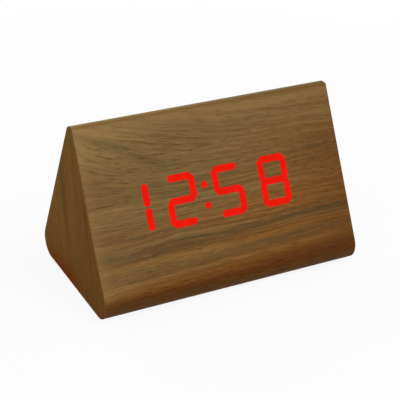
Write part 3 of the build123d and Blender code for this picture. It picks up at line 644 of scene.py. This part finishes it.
def cell_film(node):
    """Printed film of one cell, with bare metal at its two ends."""
    low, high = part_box(node)
    side = plus_side(node)
    middle, half = (low.x + high.x) / 2 / MM, (high.x - low.x) / 2 / MM

    def recipe(start):
        places = millimetres(start)
        from_middle = places[0] - middle
        band = from_middle * side > half - BAND_LENGTH
        bare = abs(from_middle) > half - BARE_LENGTH
        gloss = even_noise(places, 0.3)
        layers = [(fade(gloss, 0.3, 0.8) * 0.5, FILM_SHEEN), (band, COPPER_BAND), (bare, BARE_METAL)]
        return {
            "Base Color": layered(FILM, layers),
            "Metallic": bare * 0.7 + band * 0.3,
            "Roughness": gloss * 0.15 + 0.26,
            "Relief": (gloss, 0.02),
        }

    finish(node, recipe)


for node in CELLS:
    cell_film(node)

# %% [markdown]
# ## The light
# The figures are an even, saturated red, brighter than anything else on the clock. They
# are an emission of strength 1 over a dark red ground, so that the lamps of the studio
# add almost nothing to them. A slow unevenness stands for the single diode under each
# bar. The fillings behind the skin that are off are the same clear red, unlit.


# %% Lit and unlit red
def lit(name, bright, edge, ground):
    """A clear red filling with light behind it."""
    def recipe(start):
        along, deep, high = millimetres(start)
        pool = even_noise((along, high, deep), 0.22, 1.0)
        veil = noise(along * 0.07, high * 3.0, 4.0)
        glow = blend_colour(fade(pool, 0.62, 0.34) * 0.5 + fade(veil, 0.5, 0.8) * 0.3, bright, edge)
        return {"Base Color": ground, "Emission Color": glow, "Roughness": pool * 0.2 + 0.4}
    finish(name, recipe, {"Emission Strength": 1.0, "Specular IOR Level": 0.0})


lit("red_glow", paint(238, 26, 14), paint(214, 25, 11), paint(24, 1, 1))
lit("red_guide", paint(255, 26, 14), paint(236, 18, 10), paint(90, 8, 6))
moulding("dark_guide", paint(92, 20, 18), paint(110, 26, 22), 0.15, 0.9, 0.002)

# %% [markdown]
# ## Dressing the solids
# Most solids already have the right shape, so they only get their finish. The record of
# the part names one for each piece, and a cell has a film of its own.

# %% Finishes on the solids
for entry in frame["record"]["subparts"]:
    node = entry["node"]
    mesh = nodes[node].data
    mesh.materials.clear()
    mesh.materials.append(finishes[node if node in CELLS else entry["material_slot"]])

# %% [markdown]
# ## Geometry Nodes as recipes
# Four things follow a rule and are grown by Geometry Nodes: the folded skin, the two end
# sheets, the bars of the figures and the panel screws. A recipe is a node tree with named
# sizes. A carrier object runs it once, and the result is kept as a plain mesh at the
# origin. Small functions stand for the nodes that come back in every recipe.


# %% Recipe tools
def new_recipe(name, sizes):
    """A tree with one named input for each size; gives the tree and its inputs as wires."""
    tree = bpy.data.node_groups.new(name, "GeometryNodeTree")
    tree.interface.new_socket("Places", in_out="INPUT", socket_type="NodeSocketGeometry")
    for label, value in sizes.items():
        kind = "NodeSocketFloat" if isinstance(value, float) else "NodeSocketVector"
        tree.interface.new_socket(label, in_out="INPUT", socket_type=kind)
    tree.interface.new_socket("Piece", in_out="OUTPUT", socket_type="NodeSocketGeometry")
    entry = tree.nodes.new("NodeGroupInput")
    return tree, {socket.name: Wire(tree, socket) for socket in entry.outputs if socket.name}


def made_real(shape):
    """Instances turned into geometry of their own."""
    return shape.node("GeometryNodeRealizeInstances", {}, {"Geometry": shape})


def close_recipe(tree, shape, name):
    """End a tree in real geometry that wears its finish."""
    sockets = {"Geometry": made_real(shape), "Material": finishes[name]}
    worn = shape.node("GeometryNodeSetMaterial", {}, sockets)
    shape.node("NodeGroupOutput", {}, {0: worn})
    print("recipe", tree.name, "has", len(tree.nodes), "nodes")


def grow(name, tree, sizes, places=None):
    """Run a recipe once and keep its result as a plain mesh."""
    carrier = bpy.data.objects.new(name, places or bpy.data.meshes.new(name + "_places"))
    scene.collection.objects.link(carrier)
    modifier = carrier.modifiers.new("recipe", "NODES")
    modifier.node_group = tree
    for item in tree.interface.items_tree:
        if item.in_out == "INPUT" and item.name in sizes:
            modifier[item.identifier] = sizes[item.name]
    graph = bpy.context.evaluated_depsgraph_get()
    mesh = bpy.data.meshes.new_from_object(carrier.evaluated_get(graph), depsgraph=graph)
    carrier.modifiers.remove(modifier)
    carrier.data = mesh
    mesh.name = name
    return carrier


# %% Closing a piece
SHARP = math.radians(28.0)
WELD = 0.0005 * MM


def welded(mesh):
    """A mesh opened for work, with its doubled points merged."""
    shape = bmesh.new()
    shape.from_mesh(mesh)
    bmesh.ops.remove_doubles(shape, verts=shape.verts, dist=WELD)
    return shape


def settle(piece, body, slot, *replaced):
    """Close a piece's seams, smooth its roundings and hand it to the clock."""
    shape = welded(piece.data)
    bmesh.ops.recalc_face_normals(shape, faces=shape.faces)
    open_edges = sum(not edge.is_manifold for edge in shape.edges)
    shape.to_mesh(piece.data)
    shape.free()
    piece.data.shade_smooth()
    piece.data.set_sharp_from_angle(angle=SHARP)
    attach(piece, body)
    if replaced:
        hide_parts(*replaced)
    faces = len(piece.data.polygons)
    print(piece.name, "has", faces, "faces and", open_edges, "open edges, rides on", body)


# %% Shape tools
ORIGIN = UNTURNED = (0.0, 0.0, 0.0)


def placed(shape, spot=ORIGIN, turn=UNTURNED):
    """A shape turned and then moved."""
    sockets = {"Geometry": shape, "Translation": spot, "Rotation": turn}
    return shape.node("GeometryNodeTransform", {}, sockets)


def joined(*shapes):
    """Several shapes as one."""
    return shapes[0].node("GeometryNodeJoinGeometry", {}, {0: list(shapes)})


def wrapped(*shapes):
    """The hull round some shapes."""
    return shapes[0].node("GeometryNodeConvexHull", {}, {0: joined(*shapes)})


def cut_away(shape, *cutters):
    """A shape with others taken out of it."""
    settings = {"operation": "DIFFERENCE", "solver": "EXACT"}
    return shape.node("GeometryNodeMeshBoolean", settings, {"Mesh 1": shape, "Mesh 2": list(cutters)})


def repeated(shape, points, **more):
    """A shape on each of some points."""
    sockets = {"Points": points, "Instance": shape, **more}
    return shape.node("GeometryNodeInstanceOnPoints", {}, sockets)


def block(size):
    """A block round the origin, of a size given as a vector."""
    return size.node("GeometryNodeMeshCube", {}, {"Size": size})


def disc(radius, depth, sides):
    """A flat or long cylinder round the origin."""
    sockets = {"Vertices": sides, "Radius": radius, "Depth": depth}
    return radius.node("GeometryNodeMeshCylinder", {"fill_type": "NGON"}, sockets)


def rounded(outline, radius, steps):
    """An outline with its corners rounded in steps."""
    sockets = {"Curve": outline, "Count": steps, "Radius": radius}
    return outline.node("GeometryNodeFilletCurve", {"mode": "POLY"}, sockets)


def pulled(outline, length):
    """A flat outline filled and pulled along Z into a closed solid."""
    face = outline.node("GeometryNodeFillCurve", {"mode": "NGONS"}, {0: outline})
    sockets = {"Mesh": face, "Offset Scale": length}
    grown = outline.node("GeometryNodeExtrudeMesh", {"mode": "FACES"}, sockets)
    back = outline.node("GeometryNodeFlipFaces", {}, {"Mesh": face})
    sockets = {0: joined(grown, back), "Distance": WELD}
    return outline.node("GeometryNodeMergeByDistance", {}, sockets)


print("points closer than", round(WELD / MM, 4), "mm are merged")

# %% [markdown]
# ## The folded skin
# The solid skin is right in size, but its roundings are made of flat facets that would
# catch the light. The recipe draws the triangle, rounds its corners finely, fills it and
# pulls it to length. A second, smaller prism is taken out of it, and so are the strip
# under the clock, which is a piece of its own, and the opening for the rear panel.
# The ends of the ridge are where a hand takes hold, and there the skin is rubbed round.

# %% Section and ridge ends
CORNER_STEPS, ROD_SIDES = 24, 96
BLOCK_REACH, ROD_REACH = 0.1, 0.2
ACROSS = (math.pi / 2, 0.0, 0.0)


def rounded_triangle(half_base, floor, top, foot, ridge):
    """Outline of the clock's end: a triangle with two feet and a ridge, each rounded."""
    start = half_base
    corners = start.node("GeometryNodeMeshCircle", {"fill_type": "NONE"}, {"Vertices": 3})
    index = start.node("GeometryNodeInputIndex")
    at_top = index > 1.5
    across = (1 - at_top) * (2 * index - 1) * half_base
    spot = start.vector(across, floor + at_top * (top - floor))
    moved = start.node("GeometryNodeSetPosition", {}, {"Geometry": corners, "Position": spot})
    outline = start.node("GeometryNodeMeshToCurve", {}, {0: moved})
    return rounded(outline, foot + at_top * (ridge - foot), CORNER_STEPS)


def rubbed_off(shape, radius):
    """A shape with both ends of the clock's ridge rounded off."""
    top, half_length = solid_box[1][2], solid_box[1][0]
    corner = block(shape.vector(radius * 2, BLOCK_REACH * half_length, radius * 2))
    rod = disc(radius, ROD_REACH * half_length, ROD_SIDES)
    cutters = []
    for side in (-1, 1):
        inward = shape.vector(radius * -side, 0.0, radius * -1.0)
        hollowed = cut_away(corner, placed(rod, inward, ACROSS))
        cutters.append(placed(hollowed, (side * half_length, 0.0, top)))
    return cut_away(shape, *cutters)


print("each corner of the section is rounded in", CORNER_STEPS, "steps")

# %% Sizes of the skin
skin_low, skin_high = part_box("veneer_wrap")
_, base_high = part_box("base_veneer")
REACH, SKIN, RUBBED = 36.1772 * MM, 0.5 * MM, 1.6 * MM
REAR_SPOT = Vector((0.0, 23.899, 32.7056)) * MM
REAR_AXES = Matrix(((-1, 0, 0), (0, -SLOPE_UP, SLOPE_OUT), (0, SLOPE_OUT, SLOPE_UP)))
REAR_TURN = REAR_AXES.transposed().to_euler()


def section_sizes(inset):
    """Half base and apex of the triangle, moved inwards by a distance."""
    return (REACH - inset - SLOPE_UP * inset) / SLOPE_OUT, (REACH - inset) / SLOPE_UP


half_base, apex = section_sizes(0.0)
inner_half_base, inner_apex = section_sizes(SKIN)
skin_sizes = {
    "Length": skin_high.x - skin_low.x, "Half base": half_base, "Apex": apex,
    "Foot": 7.7 * MM, "Ridge": 2.0 * MM, "Rubbed": RUBBED, "Base strip": 2 * base_high.y,
    "Skin": SKIN, "Inner half base": inner_half_base, "Inner apex": inner_apex,
    "Panel length": 87.4 * MM, "Panel height": 43.3 * MM, "Panel corner": 3.0 * MM, "Panel gap": 0.25 * MM,
    "Panel spot": tuple(REAR_SPOT), "Panel turn": tuple(REAR_TURN),
}
print("skin is", round(skin_sizes["Length"] / MM, 3), "mm long, with its apex at", round(apex / MM, 3))

# %% The skin's recipe
OVERRUN = 2.0 * MM
PANEL_STEPS = 8
ALONG_X = (math.pi / 2, 0.0, math.pi / 2)


def panel_cutter(size):
    """What is taken out of the back for the panel and the gap round it."""
    gap = size["Panel gap"] * 2
    sockets = {"Width": size["Panel length"] + gap, "Height": size["Panel height"] + gap}
    outline = gap.node("GeometryNodeCurvePrimitiveQuadrilateral", {}, sockets)
    outline = rounded(outline, size["Panel corner"] + size["Panel gap"], PANEL_STEPS)
    cutter = placed(pulled(outline, 2 * OVERRUN), (0.0, 0.0, -OVERRUN))
    return placed(cutter, size["Panel spot"], size["Panel turn"])


def skin_recipe():
    """Grow the folded skin from its section."""
    tree, size = new_recipe("folded_skin", skin_sizes)
    length, skin = size["Length"], size["Skin"]
    foot, ridge = size["Foot"], size["Ridge"]

    def prism(outline, long):
        return placed(pulled(outline, long), length.vector(long * -0.5), ALONG_X)

    outer = rounded_triangle(size["Half base"], 0.0, size["Apex"], foot, ridge)
    inner = rounded_triangle(size["Inner half base"], skin, size["Inner apex"], foot - skin, ridge - skin)
    strip = block(length.vector(length + OVERRUN, size["Base strip"], OVERRUN))
    cutters = [prism(inner, length + OVERRUN), strip, panel_cutter(size)]
    folded = cut_away(prism(outer, length), *cutters)
    close_recipe(tree, rubbed_off(folded, size["Rubbed"]), "walnut_veneer")
    return tree


wood_skin = grow("wood_skin", skin_recipe(), skin_sizes)
settle(wood_skin, "clock", "walnut_veneer", "veneer_wrap")

# %% [markdown]
# The same corner cutters go over the two end sheets, which otherwise keep the shape of
# their solids: a copy of the solid's mesh, with its doubled points merged, is the input.


# %% End sheets
def end_sheet(side):
    """One end of the clock, with its top rounded off."""
    copy = nodes[side + "_end_veneer"].data.copy()
    shape = welded(copy)
    shape.to_mesh(copy)
    shape.free()
    sizes = {"Rubbed": RUBBED}
    tree, size = new_recipe(side + "_end_sheet", sizes)
    close_recipe(tree, rubbed_off(size["Places"], size["Rubbed"]), "walnut_end_veneer")
    piece = grow(side + "_end_sheet", tree, sizes, copy)
    settle(piece, "clock", "walnut_end_veneer", side + "_end_veneer")


for side in ("left", "right"):
    end_sheet(side)

# %% [markdown]
# ## The figures
# Each figure is built from the same bar: small discs at the corners of a bar with cut-off
# points, wrapped in a hull, which gives softly rounded tips. The skin spreads the light,
# so where two lit bars meet, the corner between them is filled by a slanting link, and a
# level bar whose neighbour on one side is dark ends sooner there. Points carry which kind
# of piece goes where, and a union makes one flat body of each figure. The figures stand
# out by two hundredths of a millimetre, as light on the skin would.

# %% Places of the lit bars
LEVEL, UPRIGHT, DOT, RISING, FALLING, SHORT = range(6)
COLUMN, ROW, UPRIGHT_ROW, LINK_INSET = 5.8, 9.9, 5.2, 0.67
BARS = {
    "a": (0, ROW, LEVEL), "b": (COLUMN, UPRIGHT_ROW, UPRIGHT), "c": (COLUMN, -UPRIGHT_ROW, UPRIGHT),
    "d": (0, -ROW, LEVEL), "e": (-COLUMN, -UPRIGHT_ROW, UPRIGHT), "f": (-COLUMN, UPRIGHT_ROW, UPRIGHT),
    "g": (0, 0, LEVEL),
}
LINK_X, LINK_Y = COLUMN - LINK_INSET, ROW - LINK_INSET
LINKS = {
    "ab": (LINK_X, LINK_Y, FALLING), "af": (-LINK_X, LINK_Y, RISING),
    "cd": (LINK_X, -LINK_Y, RISING), "de": (-LINK_X, -LINK_Y, FALLING),
    "bg": (LINK_X, LINK_INSET, RISING), "cg": (LINK_X, -LINK_INSET, FALLING),
    "eg": (-LINK_X, -LINK_INSET, RISING), "fg": (-LINK_X, LINK_INSET, FALLING),
}
SHOWN = [(-33.85 - COLUMN, "bc"), (-17.55, "abged"), (5.25, "afgcd"), (28.05, "abcdefg")]
FREE_END = 0.8
NEIGHBOURS = {"a": "fb", "d": "ec"}
COLON_X, COLON_Y = -6.15, 4.55


def lit_bar(bar, bars):
    """Place and kind of a bar, shortened where it has one dark neighbour."""
    x, y, kind = BARS[bar]
    left_lit, right_lit = (neighbour in bars for neighbour in NEIGHBOURS.get(bar, bar + bar))
    if left_lit == right_lit:
        return x, y, kind
    return x + (right_lit - left_lit) * FREE_END / 2, y, SHORT


def lit_places():
    """A mesh of points, one for each lit bar, link or dot, that carry their kind."""
    spots = [(COLON_X, side * COLON_Y, DOT) for side in (-1, 1)]
    for middle, bars in SHOWN:
        lit_pieces = [lit_bar(bar, bars) for bar in bars]
        lit_pieces += [link for pair, link in LINKS.items() if set(pair) <= set(bars)]
        spots += [(middle + x, y, kind) for x, y, kind in lit_pieces]
    mesh = bpy.data.meshes.new("lit_places")
    mesh.from_pydata([(x * MM, y * MM, 0.0) for x, y, _ in spots], [], [])
    mesh.attributes.new("kind", "INT", "POINT").data.foreach_set("value", [kind for _, _, kind in spots])
    print("lit bars, links and dots:", len(spots))
    return mesh


# %% Shapes of the lit bars
LEVEL_LENGTH = 10.5
TIP_SIDES, DOT_SIDES = 24, 40
FRONT_SPOT = Vector((-1.0, -19.0257, 42.2249)) * MM
FRONT_AXES = Matrix(((1, 0, 0), (0, SLOPE_UP, SLOPE_OUT), (0, -SLOPE_OUT, SLOPE_UP)))
FRONT_TURN = FRONT_AXES.transposed().to_euler()
figure_sizes = {
    "Level length": LEVEL_LENGTH * MM, "Short length": (LEVEL_LENGTH - FREE_END) * MM,
    "Upright length": 8.3 * MM, "Stroke": 1.7 * MM, "Tip": 0.8 * MM,
    "Link length": 1.35 * MM, "Link depth": 1.7 * MM, "Spread": 0.7 * MM,
    "Dot": 0.85 * MM, "Depth": 0.28 * MM, "Proud": 0.02 * MM,
    "Front spot": tuple(FRONT_SPOT), "Front turn": tuple(FRONT_TURN),
}


def lit_shapes(size, height):
    """One shape for each kind of lit piece, flat at the origin."""
    tip, stroke, spread = size["Tip"], size["Stroke"], size["Spread"]
    tip_disc = disc(spread, height, TIP_SIDES)

    def corners(length, width):
        sockets = {"Size X": length, "Size Y": width, "Vertices X": 2, "Vertices Y": 2}
        return length.node("GeometryNodeMeshGrid", {}, sockets)

    def bar(length, end, width, turn=0.0):
        spots = joined(corners(length, end), corners(length - (width - end), width))
        return placed(wrapped(made_real(repeated(tip_disc, spots))), turn=(0.0, 0.0, turn))

    link = (size["Link length"], size["Link depth"], size["Link depth"])
    return {
        LEVEL: bar(size["Level length"], tip, stroke),
        SHORT: bar(size["Short length"], tip, stroke),
        UPRIGHT: bar(size["Upright length"], tip, stroke, math.pi / 2),
        DOT: disc(size["Dot"] + spread, height, DOT_SIDES),
        RISING: bar(*link, math.pi / 4),
        FALLING: bar(*link, -math.pi / 4),
    }


print("strokes are", round((figure_sizes["Stroke"] + 2 * figure_sizes["Spread"]) / MM, 2), "mm wide")


# %% The figures' recipe
def figure_recipe():
    """Put bars, links and dots on their places and lay them on the front."""
    tree, size = new_recipe("lit_figures", figure_sizes)
    height = size["Depth"] + size["Proud"]
    kind = height.node("GeometryNodeInputNamedAttribute", {"data_type": "INT"}, {"Name": "kind"})
    equal = {"data_type": "INT", "operation": "EQUAL"}
    sets = []
    for wanted, shape in lit_shapes(size, height).items():
        chosen = kind.node("FunctionNodeCompare", equal, {2: kind, 3: wanted})
        sets.append(repeated(shape, size["Places"], Selection=chosen))
    pieces = made_real(joined(*sets))
    union = {"operation": "UNION", "solver": "EXACT"}
    flat = pieces.node("GeometryNodeMeshBoolean", union, {"Mesh 2": pieces, "Self Intersection": True})
    flat = placed(flat, height.vector(z=size["Proud"] - height * 0.5))
    close_recipe(tree, placed(flat, size["Front spot"], size["Front turn"]), "red_glow")
    return tree


lit_figures = grow("lit_figures", figure_recipe(), figure_sizes, lit_places())
settle(lit_figures, "clock", "red_glow", "glow_windows")

# %% [markdown]
# ## The panel screws
# Four small screws hold the rear panel. A real pan head is domed and has a cross recess
# that narrows with depth. The head is the hull of a few discs, the recess is two tapered
# wedges taken out of it, and the same screw stands on four points.

# %% Places and sizes of the screws
SCREW_X, SCREW_Y = 41.2, 16.15
SCREW_TURNS = [0.35, 1.1, -0.2, 0.75]
HEAD_SIDES, SHANK_SIDES = 32, 24
# Radius and height of the discs under the dome, as shares of the head's own
DOME = [(1.0, 0.0), (1.0, 0.42), (0.97, 0.6), (0.88, 0.78), (0.72, 0.91), (0.5, 0.98), (0.25, 1.0)]
DISC_SHARE, TIP_SHARE, RECESS_TAPER = 0.01, 0.02, 0.6
screw_sizes = {
    "Head": 2.1 * MM, "Head height": 1.5 * MM, "Shank": 1.1 * MM, "Length": 4.7 * MM, "Seat": 1.8 * MM,
    "Recess": 1.25 * MM, "Recess width": 0.62 * MM, "Recess depth": 0.9 * MM,
    "Rear spot": tuple(REAR_SPOT), "Rear turn": tuple(REAR_TURN),
}


def screw_places():
    """Four points on the rear plane, at the seat of each screw head."""
    spots = [(x * MM, y * MM, 0.0) for x in (-SCREW_X, SCREW_X) for y in (-SCREW_Y, SCREW_Y)]
    mesh = bpy.data.meshes.new("screw_places")
    mesh.from_pydata(spots, [], [])
    mesh.attributes.new("turn", "FLOAT", "POINT").data.foreach_set("value", SCREW_TURNS)
    print("screws:", len(spots))
    return mesh


# %% The screws' recipe
def screw_head(size):
    """A domed head with a cross recess, standing on the origin."""
    radius, tall, width = size["Head"], size["Head height"], size["Recess width"]

    def lifted(shape, rise):
        return placed(shape, radius.vector(z=rise))

    discs = [
        lifted(disc(radius * share, tall * DISC_SHARE, HEAD_SIDES), tall * rise) for share, rise in DOME
    ]
    mouth = lifted(block(radius.vector(size["Recess"] * 2, width, tall)), tall * 1.5)
    tip = block(radius.vector(width, width * RECESS_TAPER, tall * TIP_SHARE))
    wedge = wrapped(mouth, lifted(tip, tall - size["Recess depth"]))
    return cut_away(wrapped(*discs), placed(wedge), placed(wedge, turn=(0.0, 0.0, math.pi / 2)))


def screw_recipe():
    """One domed screw, put on every place."""
    tree, size = new_recipe("panel_screws", screw_sizes)
    long = size["Length"]
    shank = placed(disc(size["Shank"], long, SHANK_SIDES), long.vector(z=long * -0.5))
    turn = long.node("GeometryNodeInputNamedAttribute", {"data_type": "FLOAT"}, {"Name": "turn"})
    one = joined(screw_head(size), shank)
    four = repeated(one, size["Places"], Rotation=turn.vector(z=turn))
    sunk = placed(four, long.vector(z=size["Seat"] * -1.0))
    close_recipe(tree, placed(sunk, size["Rear spot"], size["Rear turn"]), "black_steel")
    return tree


screws = grow("domed_screws", screw_recipe(), screw_sizes, screw_places())
settle(screws, "clock", "black_steel", "panel_screws")

# %% [markdown]
# ## Paint in the key marks
# Each key has a sunk mark: a dot to set, a triangle for down and one for up. The marks
# are filled with white paint, a little below the top of the key. The outline of the fill
# is read off the solid key: the points on the floor of its recess, drawn in slightly.

# %% Mark fills
FILL, DRAWN_IN = 0.12 * MM, 0.95
MARK_LOW, MARK_HIGH, MARK_REACH = 0.2 * MM, 0.3 * MM, 1.5 * MM
TURN_DIGITS = 2


def mark_outline(key):
    """Points round the floor of a key's recess, in order, and the way out of it."""
    joint = next(joint for joint in frame["joints"] if joint["child"] == key + "_key")
    out = -Vector(joint["axis"]).normalized()
    points = [vertex.co.copy() for vertex in nodes[key + "_button"].data.vertices]
    top = max(point.dot(out) for point in points)
    crown = [point for point in points if top - point.dot(out) < MARK_HIGH]
    middle = sum(crown, Vector()) / len(crown)

    def sideways(point):
        away = point - middle
        return away - out * away.dot(out)

    floor = [
        point for point in crown
        if top - point.dot(out) > MARK_LOW and sideways(point).length < MARK_REACH
    ]
    centre = sum(floor, Vector()) / len(floor)
    first = Vector((1, 0, 0))
    second = out.cross(first)
    ring = {}
    for point in floor:
        away = point - centre
        turn = round(math.atan2(away.dot(second), away.dot(first)), TURN_DIGITS)
        if turn not in ring or away.length > (ring[turn] - centre).length:
            ring[turn] = point
    return [centre + (ring[turn] - centre) * DRAWN_IN for turn in sorted(ring)], out


def fill_mark(key):
    """A thin slab of paint in a key's mark."""
    outline, out = mark_outline(key)
    shape = bmesh.new()
    face = shape.faces.new([shape.verts.new(point) for point in outline])
    pushed = bmesh.ops.extrude_face_region(shape, geom=[face])
    moved = [item for item in pushed["geom"] if isinstance(item, bmesh.types.BMVert)]
    bmesh.ops.translate(shape, verts=moved, vec=out * FILL)
    mesh = bpy.data.meshes.new(key + "_mark")
    shape.to_mesh(mesh)
    shape.free()
    mesh.materials.append(finishes["mark_paint"])
    piece = bpy.data.objects.new(key + "_mark", mesh)
    scene.collection.objects.link(piece)
    settle(piece, key + "_key", "white_plastic")


for key in ("set", "down", "up"):
    fill_mark(key)

# %% [markdown]
# ## Floor and light
# The picture is a cut-out on white. The floor is therefore pale and mostly white to the
# camera, with just enough of its real shading left to keep the shadow under the clock.
# A broad lamp from the upper front right lights the slope, two weaker ones the ends and
# a fourth the back, at a level at which a colour looks as it is written.

# %% Floor
FLOOR_SIZE, FLOOR_CELLS, FLOOR_DROP = 6.0, 4, 0.05 * MM
FLOOR_GREY, FLOOR_WHITE = paint(225, 225, 225), 0.9
FAR_NEAR, FAR_FULL = 150.0, 600.0
floor_shape = bmesh.new()
bmesh.ops.create_grid(floor_shape, x_segments=FLOOR_CELLS, y_segments=FLOOR_CELLS, size=FLOOR_SIZE / 2)
floor_mesh = bpy.data.meshes.new("floor")
floor_shape.to_mesh(floor_mesh)
floor_shape.free()
floor = bpy.data.objects.new("floor", floor_mesh)
floor.location.z = solid_box[0][2] - FLOOR_DROP
scene.collection.objects.link(floor)


def seen_directly(start):
    """1 for the camera, and for what glossy and clear surfaces show of the surroundings."""
    path = start.node("ShaderNodeLightPath")
    total = path.other("Is Camera Ray") + path.other("Is Glossy Ray") + path.other("Is Transmission Ray")
    return total.math("MINIMUM", total, 1.0)


floor_paint = bpy.data.materials.new("pale_floor")
start = emptied(floor_paint)
matt = start.node("ShaderNodeBsdfDiffuse", {}, {"Color": FLOOR_GREY})
white = start.node("ShaderNodeEmission", {}, {"Color": WHITE, "Strength": 1.0})
along, deep, _ = millimetres(start)
away = start.math("SQRT", along * along + deep * deep)
whiteness = fade(away, FAR_NEAR, FAR_FULL) * (1 - FLOOR_WHITE) + FLOOR_WHITE
both = start.node("ShaderNodeMixShader", {}, {0: seen_directly(start) * whiteness, 1: matt, 2: white})
start.node("ShaderNodeOutputMaterial", {}, {"Surface": both})
floor_mesh.materials.append(floor_paint)
print("floor lies at", round(floor.location.z / MM, 3), "mm")

# %% Surroundings and lamps
AMBIENT = 0.40
LAMP_SIZE = 0.6
# Place in metres, and power in watts
LAMPS = {
    "key_lamp": ((0.45, -0.75, 0.95), 8.0),
    "left_lamp": ((-1.0, -0.35, 0.55), 3.0),
    "right_lamp": ((1.0, 0.25, 0.5), 3.0),
    "back_lamp": ((-0.25, 1.0, 0.8), 5.0),
}
world = bpy.data.worlds.new("white_studio")
scene.world = world
start = emptied(world)
strength = seen_directly(start) * (1 - AMBIENT) + AMBIENT
sky = start.node("ShaderNodeBackground", {}, {"Color": WHITE, "Strength": strength})
start.node("ShaderNodeOutputWorld", {}, {"Surface": sky})

for name, (spot, power) in LAMPS.items():
    light = bpy.data.lights.new(name, "AREA")
    light.size = LAMP_SIZE
    light.energy = power
    holder = bpy.data.objects.new(name, light)
    holder.location = spot
    holder.rotation_euler = (AIM - Vector(spot)).to_track_quat("-Z", "Y").to_euler()
    scene.collection.objects.link(holder)
    print("lamp", name, "at", spot, "of", power, "W")

# %% [markdown]
# ## Sizes
# The dressed clock must keep the size of the solid one, so the box of the solid clock is written down.

# %% Sizes
print("solid box", [[round(value / MM, 2) for value in corner] for corner in solid_box])
